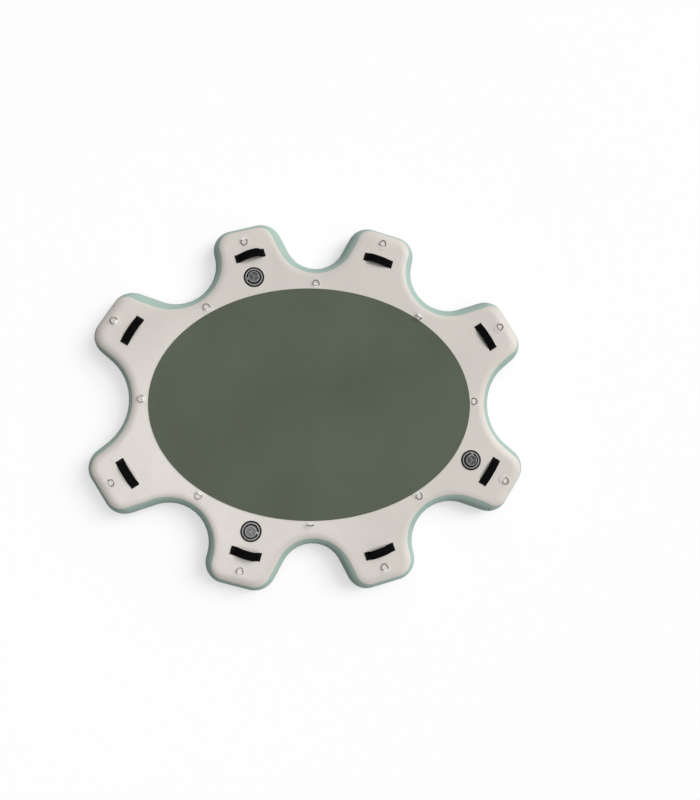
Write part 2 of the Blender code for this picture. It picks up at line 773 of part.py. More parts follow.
def valve_plunger(name, parent):
    """Button, stem and sealing disc, turned as one."""
    points = [(0, -BUTTON_DEPTH), (BUTTON_RADIUS, -BUTTON_DEPTH), (BUTTON_RADIUS, BUTTON_BOTTOM)]
    points += [(STEM_RADIUS, BUTTON_BOTTOM), (STEM_RADIUS, POPPET_TOP)]
    points += [(POPPET_RADIUS, POPPET_TOP), (POPPET_RADIUS, POPPET_TOP - POPPET)]
    points.append((0, POPPET_TOP - POPPET))
    made = add_object(name, profile_mesh(name, points, False), GREY, parent)
    turn(made, PLUNGER_STEPS)


def least_gap(points, wire, steps):
    """The smallest space between a coil's turns, from points along it."""
    distances = []
    for number, point in enumerate(points):
        distances += [(point - other).length for other in points[number + steps // 2 :]]
    return min(distances) - wire


def spring_curve():
    """The coil between the spider and the button."""
    low = HUB_TOP + GAP + SPRING_WIRE / 2
    high = BUTTON_BOTTOM - GAP - SPRING_WIRE / 2
    count = SPRING_TURNS * SPRING_STEPS
    points = []
    for step in range(count + 1):
        across = direction(2 * math.pi * step / SPRING_STEPS) * SPRING_RADIUS
        points.append(Vector((across.x, across.y, low + (high - low) * step / count)))
    print("least gap in the valve springs, mm:", 1000 * least_gap(points, SPRING_WIRE, SPRING_STEPS))
    curve = bpy.data.curves.new("valve_spring", "CURVE")
    curve.dimensions = "3D"
    curve.bevel_depth = SPRING_WIRE / 2
    curve.bevel_resolution = 1
    curve.use_fill_caps = True
    wire = curve.splines.new("POLY")
    wire.points.add(len(points) - 1)
    for point, place in zip(wire.points, points):
        point.co = (*place, 1)
    curve.materials.append(SPRING_STEEL)
    return curve


def finger_hollows():
    """Cutter for the cap's three finger hollows, which leave a rim and ribs from a small hub."""
    shape = bmesh.new()
    outer = CAP_RADIUS - CAP_RIM
    half_rib = CAP_RIB / 2
    top = CAP_BASE + CAP_HEIGHT
    for number in range(HOLLOWS):
        start = 2 * math.pi * number / HOLLOWS
        stop = start + 2 * math.pi / HOLLOWS
        lean = math.asin(half_rib / outer)
        near = math.asin(half_rib / (CAP_HUB_RADIUS + half_rib))
        outline = arc((0, 0), outer, start + lean, stop - lean, HOLLOW_STEPS)
        outline += arc((0, 0), CAP_HUB_RADIUS + half_rib, stop - near, start + near, 1)
        extrude_outline(shape, outline, top - CAP_HOLLOW, top + OVERRUN)
    return mesh_from("finger_hollows", shape)


def valve_cap(name, parent, tether_bearing, hollows):
    """Cap with an edge, finger hollows, a skirt that fits the barrel and a tether's tail."""
    top = CAP_BASE + CAP_HEIGHT
    skirt_outer = BARREL_BORE * math.cos(math.pi / VALVE_STEPS) - SKIRT_CLEARANCE
    skirt_inner = skirt_outer - SKIRT
    skirt_bottom = CAP_BASE - SKIRT_DEPTH
    points = [(0, top), (CAP_RADIUS - CAP_EDGE, top), (CAP_RADIUS, top - CAP_EDGE)]
    points += [(CAP_RADIUS, CAP_BASE), (skirt_outer, CAP_BASE), (skirt_outer, skirt_bottom)]
    points += [(skirt_inner, skirt_bottom), (skirt_inner, CAP_BASE), (0, CAP_BASE)]
    made = add_object(name, profile_mesh(name, points, False), GREY, parent)
    turn(made, CAP_STEPS)
    shape = bmesh.new()
    low = CAP_BASE + GAP
    box(shape, (0, -TAIL_WIDTH / 2, low), (CAP_RADIUS + TAIL_LENGTH, TAIL_WIDTH / 2, low + TAIL))
    tail = add_object(f"{name}_tail", mesh_from("tail", shape), None, parent, CUTTERS)
    tail.rotation_euler = (0, 0, tether_bearing - parent.rotation_euler.z)
    boolean(made, tail, "UNION")
    cutter = add_object(f"{name}_hollows", hollows, None, parent, CUTTERS)
    boolean(made, cutter, "DIFFERENCE")


def valve(number, tether_bearing, spring_data, hollows):
    """All five pieces of a valve, round its axis."""
    parent = frame(f"valve_{number}_axis", *valve_places()[number - 1])
    valve_surround(f"valve_surround_{number}", parent)
    valve_body(f"valve_body_{number}", parent)
    valve_plunger(f"valve_plunger_{number}", parent)
    add_object(f"valve_spring_{number}", spring_data, SPRING_STEEL, parent)
    valve_cap(f"valve_cap_{number}", parent, tether_bearing, hollows)


def build():
    bores = valve_bores()
    top = skin("top_skin", CREAM, False)
    boolean(top, bores, "DIFFERENCE")
    skin("bottom_skin", CREAM_UNDER, True)
    side_wall()
    drop_stitch_core(bores)
    deck_pad()
    shared = (ring_curve(), keeper_mesh())
    round_patch = patch_mesh("lobe_patch", lobe_patch_outline())
    bay_patch = patch_mesh("bay_patch", bay_patch_outline())
    clearance = pad_clearance()
    for number, (place, bearing, tilt) in enumerate(ring_places(), start=1):
        parent = frame(f"ring_place_{number}", place, bearing)
        in_bay = number > len(LOBE_RING_TILTS)
        base = ring_on_patch(number, parent, tilt, bay_patch if in_bay else round_patch, shared)
        if in_bay:
            boolean(base, clearance, "DIFFERENCE")
    for number, (place, bearing) in enumerate(handle_places(), start=1):
        handle(number, frame(f"handle_place_{number}", place, bearing))
    spring_data = spring_curve()
    hollows = finger_hollows()
    for number, tether in enumerate(TETHER_BEARINGS, start=1):
        valve(number, tether, spring_data, hollows)


build()
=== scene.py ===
import math

import bmesh
import bpy
import numpy as np
from mathutils import Matrix, Vector


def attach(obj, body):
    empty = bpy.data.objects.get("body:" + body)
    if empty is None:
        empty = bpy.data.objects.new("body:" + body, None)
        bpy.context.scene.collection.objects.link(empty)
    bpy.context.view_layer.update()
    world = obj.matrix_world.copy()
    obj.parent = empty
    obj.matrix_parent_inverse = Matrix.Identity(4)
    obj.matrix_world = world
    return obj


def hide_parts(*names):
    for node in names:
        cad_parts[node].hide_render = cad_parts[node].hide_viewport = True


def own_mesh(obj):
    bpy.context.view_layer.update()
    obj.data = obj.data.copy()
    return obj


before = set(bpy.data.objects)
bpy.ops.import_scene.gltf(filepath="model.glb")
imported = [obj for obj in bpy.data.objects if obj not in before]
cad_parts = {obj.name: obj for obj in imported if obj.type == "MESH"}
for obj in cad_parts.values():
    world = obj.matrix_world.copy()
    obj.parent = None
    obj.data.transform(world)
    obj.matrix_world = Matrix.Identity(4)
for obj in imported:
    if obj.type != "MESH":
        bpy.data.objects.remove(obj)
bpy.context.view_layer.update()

# Sizes repeated from the CAD source, in metres
HULL_LENGTH, HULL_WIDTH, HULL_THICKNESS = 3.0, 2.55, 0.15
RAIL = HULL_THICKNESS / 2
SKIN = 0.0015
GAP = 0.0003
BAND_RADIUS = RAIL - SKIN - GAP
PAD_LENGTH, PAD_WIDTH, PAD_THICKNESS = 2.21, 1.605, 0.005
TIP_RADIUS, TIP_STRAIGHT = 0.1445, 0.197
END_LOBE_BEARING, END_LOBE_OFFSET = math.radians(32), 0.605
SIDE_LOBE_BEARING, SIDE_LOBE_OFFSET = math.radians(74.6), 0.514
BAYS = ((0.150, 0.368), (0.155, 0.271), (0.165, 0.216), (0.155, 0.271))
CORNER_BAY_TURN = math.radians(48.2)
LOBE_RING_SHARE, BAY_RING_OFFSET, BAY_PATCH_OFFSET = 0.2212, 0.026, 0.008
LOBE_TILTS = [math.radians(t) for t in (0, 0, 180, 0, 153, 180, 180, 0)]
BAY_TILTS = [math.radians(t) for t in (0, 150, 0, 0, 0, 0, 90, 0)]
LOBE_RING_SHIFTS = (
    (-0.0095, -0.002), (-0.001, -0.0035), (-0.012, 0.0035), (-0.013, 0.0005),
    (-0.003, 0.0), (-0.0075, 0.0025), (-0.016, -0.0015), (-0.019, 0.002),
)
BAY_RING_SHIFTS = (
    (-0.022, -0.008), (-0.008, -0.001), (0.0105, -0.0005), (0.027, 0.007),
    (0.014, 0.009), (0.0, -0.001), (0.011, 0.0), (0.0215, -0.004),
)
RING_WIDTH, RING_DEPTH, RING_BAR, RING_CORNER = 0.050, 0.041, 0.005, 0.006
PATCH_RADIUS, PATCH = 0.035, 0.0016
BAR_HEIGHT = GAP + PATCH + GAP + RING_BAR / 2
KEEPER_WIDTH, KEEPER, KEEPER_TAIL = 0.030, 0.0015, 0.016
HANDLE_SHARE, HANDLE_LENGTH, HANDLE_WIDTH = 0.53, 0.208, 0.058
HANDLE_FOOT, HANDLE_STRAP, HANDLE_CROWN = 0.02, 0.003, 3.0
HANDLE_HEIGHTS = (0.012, 0.020, 0.040, 0.012, 0.012, 0.038, 0.032, 0.012)
HANDLE_LEANS = (0, 0.25, -0.35, 0, 0, 0.4, -0.2, 0)
HANDLE_SHIFTS = (
    (-0.004, 0.001), (-0.0015, 0.005), (0.0025, 0.0065), (-0.0035, -0.004),
    (-0.0035, -0.0055), (-0.012, -0.005), (-0.0115, 0.001), (-0.0135, 0.004),
)
HANDLE_TURNS = [math.radians(t) for t in (1.5, -0.8, 1.0, 1.9, 0.9, 0.2, 3.2, 0.2)]
VALVE_MARGIN, VALVE_LOBES = 0.0497, (3, 6, 8)
VALVE_SHIFTS = ((-0.009, 0.0045), (-0.0035, -0.003), (-0.011, -0.0015))
TETHER_BEARINGS = [math.radians(b) for b in (197, 347, 80)]
SURROUND_RADIUS, SURROUND_BORE, SURROUND = 0.071, 0.0405, 0.0015
FLANGE_RADIUS, FLANGE = 0.04, 0.003
BARREL_RADIUS, BARREL_BORE, BARREL_DEPTH = 0.025, 0.0215, 0.042
BORE_RADIUS = BARREL_RADIUS + GAP
NUT_RADIUS, NUT, NUT_TOP = 0.032, 0.006, -0.0031
SEAT_BORE, SEAT = 0.015, 0.003
BUTTON_RADIUS, BUTTON_HEIGHT, BUTTON_DEPTH = 0.01, 0.004, 0.006
PLUNGER_TRAVEL, SPRING_PUSHED = 0.006, 0.011
HUB_RADIUS, HUB_HEIGHT, SPOKE_WIDTH, SPOKES = 0.007, 0.005, 0.004, 3
STEM_RADIUS, POPPET_RADIUS, POPPET = 0.004, 0.018, 0.004
SPRING_RADIUS, SPRING_WIRE, SPRING_TURNS = 0.0065, 0.0012, 3
CAP_RADIUS, CAP_HEIGHT, CAP_RIM, CAP_RIB = 0.038, 0.010, 0.006, 0.007
CAP_HOLLOW, CAP_HUB_RADIUS = 0.0065, 0.006
TAIL_LENGTH, TAIL_WIDTH, TAIL = 0.014, 0.014, 0.002
FLANGE_TOP = GAP + FLANGE
CAP_BASE = FLANGE_TOP + GAP
BUTTON_BOTTOM = -BUTTON_DEPTH - BUTTON_HEIGHT
HUB_TOP = BUTTON_BOTTOM - PLUNGER_TRAVEL - SPRING_PUSHED
POPPET_TOP = -BARREL_DEPTH - GAP
TURN = 2 * math.pi

# Sizes that only the looks have
SKIN_INSETS = (0.04, 0.02)
PUCKER_WAVES = ((0.0005, 0.046, 0.0), (0.0003, 0.0293, 1.3))
BAND_JOINS = ((-0.19, 1.0), (1.26, -0.73))
JOIN_LIFTS, JOIN_EASE = (0.0002, 0.001), 0.01
PAD_INSETS, PAD_EDGE = (0.05, 0.006), 0.0018
TUCK = 0.0004
STITCH, STITCH_PITCH, CROSS_STITCHES = 0.0007, 0.0035, 12
CAP_EDGE, CAP_DOME, CAP_COLUMNS = 0.0016, 0.0004, 144
GRIP_DEPTH, GRIP_TEETH = 0.0007, 36
HUB_EASE, FLANK_START, FLANK = 0.0015, 0.0006, 0.0034
VALVE_SIDES = 72
TICKS, TICK_RADIUS, TICK_LENGTH, TICK_SHARE = 48, 0.0550, 0.0072, 0.54
# The cap's skirt with its seal's groove: how far in from its outside, and down from the cap's base
SKIRT = (
    (0, 0), (0, 0.003), (0.0007, 0.0036), (0, 0.0042), (0, 0.0085), (0.0005, 0.009),
    (0.0025, 0.009), (0.0025, 0),
)

# Light and camera. The sky brightens along its tilt, and only the camera sees the floor's glow.
LOW_SKY, HIGH_SKY, SEEN_SKY = 0.03, 0.92, 0.95
SKY_TILT = (0.52, 0.30, 0.80)
FLOOR_HALF, FLOOR_DROP, FLOOR_GLOW = 14, 0.001, 0.51
KEY, KEY_PLACE, KEY_ANGLE = 2.2, (3.8, 1.7, 3.2), math.radians(35)
SHEEN, SHEEN_PLACE, SHEEN_AIM, SHEEN_SIZE = 400, (-1.9, -1.1, 4.0), (-1.0, -0.4, 0), 4.0
CAMERA_PLACE = (-0.009, -0.225, 3.439)
CAMERA_RIGHT, CAMERA_BACK = (0.99678, 0.00473, 0.07999), (-0.0794, -0.0744, 0.99406)
FOCAL_PIXELS, FRAME_PIXELS, SENSOR = 476.4, 800, 36

# The hull's rounded edge is wider than it is high, by the shoulder's factor, and the core's
# cloths end a margin inside it. The seam between skin and side wall wanders round the hull:
# degrees down the edge in each bay's middle, before each lobe's tip, at the tip and after it.
SHOULDER, CLOTH_MARGIN = 1.33, 0.014
SEAM_TABLE = (
    (33, 32, 53, 26), (26, 32, 46, 20), (29, 24, 38, 27), (28, 22, 52, 44),
    (36, 34, 40, 33), (31, 26, 40, 38), (31, 21, 38, 39), (30, 21, 55, 38),
)


# Outline of the hull
def direction(bearing):
    return Vector((math.cos(bearing), math.sin(bearing)))


def pad_edge(angle):
    long_half, short_half = PAD_LENGTH / 2, PAD_WIDTH / 2
    point = Vector((long_half * math.cos(angle), short_half * math.sin(angle)))
    out = Vector((short_half * math.cos(angle), long_half * math.sin(angle)))
    return point, out.normalized()


def lobes():
    lean = END_LOBE_BEARING
    back = TIP_RADIUS * (1 - math.cos(lean)) + TIP_STRAIGHT / 2 * math.sin(lean)
    end = Vector((HULL_LENGTH / 2 - back, END_LOBE_OFFSET))
    lean = SIDE_LOBE_BEARING
    back = TIP_RADIUS * (1 - math.sin(lean)) + TIP_STRAIGHT / 2 * math.cos(lean)
    side = Vector((SIDE_LOBE_OFFSET, HULL_WIDTH / 2 - back))
    quarter = [(end, END_LOBE_BEARING), (side, SIDE_LOBE_BEARING)]
    found = list(quarter)
    found += [(Vector((-t.x, t.y)), math.pi - b) for t, b in reversed(quarter)]
    found += [(-t, math.pi + b) for t, b in quarter]
    found += [(Vector((t.x, -t.y)), -b) for t, b in reversed(quarter)]
    return found


def bays():
    turns = [0, CORNER_BAY_TURN, math.pi / 2, math.pi - CORNER_BAY_TURN]
    turns += [math.pi + angle for angle in turns]
    found = []
    for angle in turns:
        point, out = pad_edge(angle)
        found.append((point, math.atan2(out.y, out.x)))
    return found


def lobe_reach(tip, bearing):
    """Distance from a lobe's tip back along its bearing to the pad's edge."""
    out = direction(bearing)
    start = Vector((tip.x / PAD_LENGTH, tip.y / PAD_WIDTH)) * 2
    step = Vector((out.x / PAD_LENGTH, out.y / PAD_WIDTH)) * -2
    middle = -start.dot(step) / step.length_squared
    nearest = (start + step * middle).length_squared
    return middle - math.sqrt((1 - nearest) / step.length_squared)


def shifted(place, bearing, outwards, shift):
    """A place moved outwards along a bearing, and by a glued piece's own shift."""
    clockwise, further = shift
    out = direction(bearing)
    return place + out * (outwards + further) + Vector((out.y, -out.x)) * clockwise


def ring_places():
    """Middle of each ring's bar, its bearing and its tilt: those on the lobes, then in the bays."""
    found = []
    for (tip, bearing), shift, tilt in zip(lobes(), LOBE_RING_SHIFTS, LOBE_TILTS):
        inset = LOBE_RING_SHARE * lobe_reach(tip, bearing)
        found.append((shifted(tip, bearing, -inset, shift), bearing, tilt))
    for (edge, bearing), shift, tilt in zip(bays(), BAY_RING_SHIFTS, BAY_TILTS):
        found.append((shifted(edge, bearing, BAY_RING_OFFSET, shift), bearing, tilt))
    return found


def handle_places():
    """Middle of each handle and the way it faces, between the patch and a valve's surround."""
    found = []
    for (tip, bearing), shift, turn in zip(lobes(), HANDLE_SHIFTS, HANDLE_TURNS):
        reach = lobe_reach(tip, bearing)
        near = LOBE_RING_SHARE * reach + PATCH_RADIUS
        far = reach - VALVE_MARGIN - 2 * SURROUND_RADIUS
        inset = near + HANDLE_SHARE * (far - near)
        found.append((shifted(tip, bearing, -inset, shift), bearing + turn))
    return found


def valve_places():
    """Centre of each valve and its lobe's bearing, beside the pad."""
    found = []
    for lobe, shift in zip(VALVE_LOBES, VALVE_SHIFTS):
        tip, bearing = lobes()[lobe - 1]
        inset = lobe_reach(tip, bearing) - VALVE_MARGIN - SURROUND_RADIUS
        found.append((shifted(tip, bearing, -inset, shift), bearing))
    return found


def outline(spacing):
    """Points on the hull's widest line, with the way out, seam angle and hollowness at each."""
    arcs = []
    for number, (edge, bearing) in enumerate(bays()):
        shelf, radius = BAYS[number % 4]
        arcs.append((edge + direction(bearing) * (shelf + radius), -radius))
        tip, lean = lobes()[number]
        out = direction(lean)
        along = Vector((-out.y, out.x)) * TIP_STRAIGHT / 2
        middle = tip - out * TIP_RADIUS
        arcs += [(middle - along, TIP_RADIUS), (middle + along, TIP_RADIUS)]
    headings = []
    for (centre, radius), (after, other) in zip(arcs, arcs[1:] + arcs[:1]):
        line = after - centre
        headings.append(math.atan2(line.y, line.x) - math.acos((radius - other) / line.length))
    points, outs, seam, hollow = [], [], [], []
    for number, (centre, radius) in enumerate(arcs):
        lobe, part = divmod(number, 3)
        middle, before, top, after = SEAM_TABLE[lobe]
        start = headings[number - 1]
        sweep = (headings[number] - start + math.pi) % TURN - math.pi
        steps = max(2, math.ceil(abs(radius * sweep) / spacing))
        for step in range(steps + 1):
            share = step / steps
            out = direction(start + sweep * share)
            points.append(centre + out * radius)
            outs.append(out)
            if part == 0:
                last = SEAM_TABLE[lobe - 1][3]
                side = last + (before - last) * share
                bend = 1 - (2 * share - 1) ** 2
                seam.append(side + (middle - side) * bend)
                hollow.append(bend)
            else:
                near, far = (before, top) if part == 1 else (top, after)
                seam.append(near + (far - near) * share)
                hollow.append(0)
        after_centre, after_radius = arcs[(number + 1) % len(arcs)]
        end = after_centre + out * after_radius
        count = math.ceil((end - points[-1]).length / spacing)
        first = points[-1]
        for step in range(1, count):
            points.append(first.lerp(end, step / count))
            outs.append(out)
            seam.append(seam[-1])
            hollow.append(0)
    wide = 6
    window = np.hanning(2 * wide + 1)

    def softened(values):
        ring = np.concatenate([values[-wide:], values, values[:wide]])
        return np.convolve(ring, window / window.sum(), "valid")

    places, outs = np.array([tuple(p) for p in points]), np.array([tuple(o) for o in outs])
    return places, outs, softened(np.radians(seam)), softened(hollow)


# Mesh helpers
def face_out(data):
    """Welds rows that meet and turns the faces outwards."""
    shape = bmesh.new()
    shape.from_mesh(data)
    bmesh.ops.remove_doubles(shape, verts=shape.verts, dist=1e-6)
    bmesh.ops.recalc_face_normals(shape, faces=shape.faces)
    shape.to_mesh(data)
    shape.free()


def linked(name, data):
    made = bpy.data.objects.new(name, data)
    bpy.context.scene.collection.objects.link(made)
    return made


def make(name, verts, faces, material, smooth=True, sharp=None):
    """A mesh object, its faces turned outwards, with edges over the sharp angle left hard."""
    data = bpy.data.meshes.new(name)
    data.from_pydata([tuple(v) for v in verts], [], [tuple(f) for f in faces])
    data.validate()
    if len(faces) > 1:
        face_out(data)
    if smooth:
        data.shade_smooth()
        if sharp:
            data.set_sharp_from_angle(angle=math.radians(sharp))
    data.materials.append(material)
    return linked(name, data)


def loft(rows, capped=True):
    """Vertices and faces through closed rows of points of one length, with or without end faces."""
    count = len(rows[0])
    verts = np.concatenate([np.asarray(row) for row in rows])
    faces = []
    for low in range(0, len(verts) - count, count):
        high = low + count
        for k in range(count):
            after = (k + 1) % count
            faces.append((low + k, high + k, high + after, low + after))
    if capped:
        faces.append(tuple(range(count)))
        faces.append(tuple(reversed(range(len(verts) - count, len(verts)))))
    return verts, faces


def put(made, body, slot, *nodes, matrix=None):
    """Rides a piece on its body and hides the CAD nodes that it replaces. The slot is not used."""
    if matrix is not None:
        made.matrix_world = matrix
    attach(made, body)
    if nodes:
        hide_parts(*nodes)
    return made


def turned(profile, steps):
    """Rows of a profile of (radius, height) turned about Z."""
    angles = np.arange(steps) * TURN / steps
    around = np.stack([np.cos(angles), np.sin(angles), 0 * angles], 1)
    return [around * radius + np.array([0, 0, height]) for radius, height in profile]


def rounded(profile, radius, steps=3):
    """A profile with each corner between its ends cut by a short curve."""
    points = [np.array(p, float) for p in profile]
    made = [points[0]]
    for before, here, after in zip(points, points[1:], points[2:]):
        reach = min(radius, np.linalg.norm(here - before) / 2.2, np.linalg.norm(after - here) / 2.2)
        enter = here + (before - here) / max(np.linalg.norm(before - here), 1e-9) * reach
        leave = here + (after - here) / max(np.linalg.norm(after - here), 1e-9) * reach
        for step in range(steps + 1):
            t = step / steps
            made.append((1 - t) ** 2 * enter + 2 * t * (1 - t) * here + t * t * leave)
    made.append(points[-1])
    return [tuple(p) for p in made]


def tube(path, radius, sides, closed):
    """Rows round a path of points, each with its own plane."""
    path = np.asarray(path, float)
    count = len(path)
    rows = []
    normal = None
    for k in range(count):
        before = path[k - 1] if closed or k else path[k]
        after = path[(k + 1) % count] if closed or k < count - 1 else path[k]
        tangent = Vector(after - before).normalized()
        if normal is None:
            seed = Vector((0, 0, 1)) if abs(tangent.z) < 0.9 else Vector((1, 0, 0))
            normal = (seed - tangent * seed.dot(tangent)).normalized()
        else:
            normal = (normal - tangent * normal.dot(tangent)).normalized()
        side = tangent.cross(normal)
        angles = TURN * np.arange(sides)[:, None] / sides
        spokes = np.cos(angles) * np.array(normal) + np.sin(angles) * np.array(side)
        rows.append(path[k] + radius * spokes)
    return rows


def join(parts):
    """Several (vertices, faces) as one."""
    verts, faces, base = [], [], 0
    for v, f in parts:
        verts += [tuple(p) for p in v]
        faces += [tuple(base + i for i in face) for face in f]
        base += len(v)
    return verts, faces


def place(matrix, verts):
    return [tuple(matrix @ Vector(v)) for v in verts]


def upright(place_xy, bearing):
    """A frame on the top skin with its Y axis along the bearing."""
    lift = Matrix.Translation((place_xy.x, place_xy.y, HULL_THICKNESS))
    return lift @ Matrix.Rotation(bearing - math.pi / 2, 4, "Z")


# Materials
class Surface:
    """A node material with one Principled shader and small helpers to feed it."""

    def __init__(self, name, colour, roughness, metallic=0.0, **values):
        self.made = bpy.data.materials.new(name)
        self.made.use_nodes = True
        self.tree = self.made.node_tree
        self.shader = self.tree.nodes["Principled BSDF"]
        self.shader.inputs["Base Color"].default_value = (*colour, 1)
        self.shader.inputs["Roughness"].default_value = roughness
        self.shader.inputs["Metallic"].default_value = metallic
        for key, value in values.items():
            self.shader.inputs[key.replace("_", " ")].default_value = value
        self.coords = self.tree.nodes.new("ShaderNodeTexCoord")

    def node(self, kind, values=None, **settings):
        made = self.tree.nodes.new(kind)
        for key, value in settings.items():
            setattr(made, key, value)
        for key, value in (values or {}).items():
            if isinstance(value, bpy.types.NodeSocket):
                self.tree.links.new(value, made.inputs[key])
            else:
                made.inputs[key].default_value = value
        return made

    def math(self, operation, a, b=0.0, c=0.0):
        return self.node("ShaderNodeMath", {0: a, 1: b, 2: c}, operation=operation).outputs[0]

    def noise(self, scale, detail=2.0, source="Object", roughness=0.5):
        values = {"Vector": self.coords.outputs[source], "Scale": scale, "Detail": detail}
        values["Roughness"] = roughness
        return self.node("ShaderNodeTexNoise", values).outputs["Fac"]

    def ramp(self, value, stops):
        made = self.node("ShaderNodeValToRGB", {"Fac": value})
        elements = made.color_ramp.elements
        while len(elements) < len(stops):
            elements.new(0.5)
        for element, (at, colour) in zip(elements, stops):
            element.position = at
            element.color = (*colour, 1) if len(colour) == 3 else colour
        return made.outputs["Color"]

    def spread(self, value, low, high):
        values = {"Value": value, "To Min": low, "To Max": high, "From Min": 0.3, "From Max": 0.7}
        return self.node("ShaderNodeMapRange", values).outputs["Result"]

    def mix(self, factor, a, b, kind="MIX"):
        made = self.node("ShaderNodeMix", data_type="RGBA", blend_type=kind)
        for index, value in ((0, factor), (6, a), (7, b)):
            if isinstance(value, bpy.types.NodeSocket):
                self.tree.links.new(value, made.inputs[index])
            else:
                made.inputs[index].default_value = value if index == 0 else (*value, 1)
        return made.outputs[2]

    def wave(self, axis, pitch, source="Object"):
        """Stripes across an axis, one each pitch in metres."""
        scale = TURN / pitch / 20
        values = {"Vector": self.coords.outputs[source], "Scale": scale}
        settings = {"wave_type": "BANDS", "bands_direction": axis, "wave_profile": "SIN"}
        return self.node("ShaderNodeTexWave", values, **settings).outputs["Fac"]

    def feed(self, socket, value):
        self.tree.links.new(value, self.shader.inputs[socket])

    def bump(self, height, distance, strength=1.0, under=None):
        values = {"Height": height, "Distance": distance, "Strength": strength}
        if under is not None:
            values["Normal"] = under
        return self.node("ShaderNodeBump", values).outputs["Normal"]


def varied(colour, share):
    return tuple(c * (1 - share) for c in colour), tuple(min(1, c * (1 + share)) for c in colour)


def coated_fabric(name, colour, roughness, weave):
    """PVC on a woven base: satin, faintly mottled, the weave just showing through."""
    made = Surface(name, colour, roughness, Specular_IOR_Level=0.28)
    low, high = varied(colour, 0.035)
    broad = made.noise(2.2, 3.0)
    tint = made.ramp(broad, [(0.35, low), (0.65, high)])
    scuffs = made.noise(38, 4.0, roughness=0.7)
    dirt = made.ramp(scuffs, [(0.58, (0, 0, 0)), (0.75, (1, 1, 1))])
    worn = tuple(c * 0.93 for c in colour)
    faint = made.math("MULTIPLY", dirt, 0.25)
    made.feed("Base Color", made.mix(faint, tint, worn))
    made.feed("Roughness", made.spread(made.noise(14, 3.0), roughness - 0.05, roughness + 0.07))
    warp, weft = made.wave("X", weave), made.wave("Y", weave)
    cloth = made.math("MULTIPLY", warp, weft)
    stitches = made.node(
        "ShaderNodeTexVoronoi",
        {"Vector": made.coords.outputs["Object"], "Scale": 170.0},
        feature="SMOOTH_F1",
    ).outputs["Distance"]
    dimples = made.bump(stitches, 0.0004, 0.25)
    made.feed("Normal", made.bump(cloth, 0.00015, 0.35, dimples))
    return made.made


def foam_deck():
    """Closed-cell foam with a brushed face: matt, fine-grained, slightly uneven in tone."""
    colour = (0.085, 0.106, 0.070)
    made = Surface("sage_foam", colour, 0.86, Specular_IOR_Level=0.25)
    low, high = varied(colour, 0.10)
    tone = made.ramp(made.noise(1.6, 4.0), [(0.32, low), (0.68, high)])
    grain = made.noise(620, 3.0, roughness=0.7)
    speck = made.ramp(grain, [(0.4, (0.86, 0.86, 0.86)), (0.62, (1.1, 1.1, 1.1))])
    made.feed("Base Color", made.mix(1.0, tone, speck, "MULTIPLY"))
    made.feed("Roughness", made.spread(grain, 0.8, 0.95))
    cells = made.node(
        "ShaderNodeTexVoronoi", {"Vector": made.coords.outputs["Object"], "Scale": 420.0}
    ).outputs["Distance"]
    rough = made.bump(grain, 0.0005, 0.5)
    made.feed("Normal", made.bump(cells, 0.0004, 0.3, rough))
    return made.made


def webbing(name, colour, pitch, spread):
    """Woven polyester: ribs along the strap crossed by fine weft, from its UV map in metres."""
    made = Surface(name, colour, 0.9, Specular_IOR_Level=0.03)
    ribs = made.wave("Y", pitch, "UV")
    wefts = made.wave("X", pitch * 0.55, "UV")
    cross = made.math("MULTIPLY", ribs, wefts)
    low, high = varied(colour, spread)
    made.feed("Base Color", made.ramp(cross, [(0.1, low), (0.9, high)]))
    made.feed("Roughness", made.spread(made.noise(220), 0.7, 0.88))
    made.feed("Normal", made.bump(cross, 0.0006, 0.8))
    return made.made


def moulded(name, colour, roughness, hollow_shade=None):
    """Moulded plastic. With a second colour it is the cap's top, with painted shade down in its
    hollows.
    """
    made = Surface(name, colour, roughness, Specular_IOR_Level=0.45)
    low, high = varied(colour, 0.06)
    tint = made.ramp(made.noise(60, 3.0), [(0.35, low), (0.65, high)])
    if hollow_shade:
        top = CAP_BASE + CAP_HEIGHT
        split = made.node("ShaderNodeSeparateXYZ", {0: made.coords.outputs["Object"]})
        values = {"Value": split.outputs[2], "From Min": top - CAP_HOLLOW}
        values["From Max"] = top - CAP_HOLLOW * 0.25
        rise = made.node("ShaderNodeMapRange", values).outputs["Result"]
        # Painted shade: the cap's top turns to the darker colour down in its finger hollows.
        tint = made.mix(rise, hollow_shade, tint)
    made.feed("Base Color", tint)
    grain = made.noise(1400, 2.0)
    made.feed("Roughness", made.spread(made.noise(90), roughness - 0.06, roughness + 0.08))
    made.feed("Normal", made.bump(grain, 0.00012, 0.35))
    return made.made


def metal(name, colour, roughness):
    made = Surface(name, colour, roughness, 1.0)
    low, high = varied(colour, 0.05)
    made.feed("Base Color", made.ramp(made.noise(120, 2.0), [(0.35, low), (0.65, high)]))
    made.feed("Roughness", made.spread(made.noise(300, 3.0), roughness - 0.06, roughness + 0.1))
    made.feed("Normal", made.bump(made.noise(700, 2.0), 0.00008, 0.3))
    return made.made


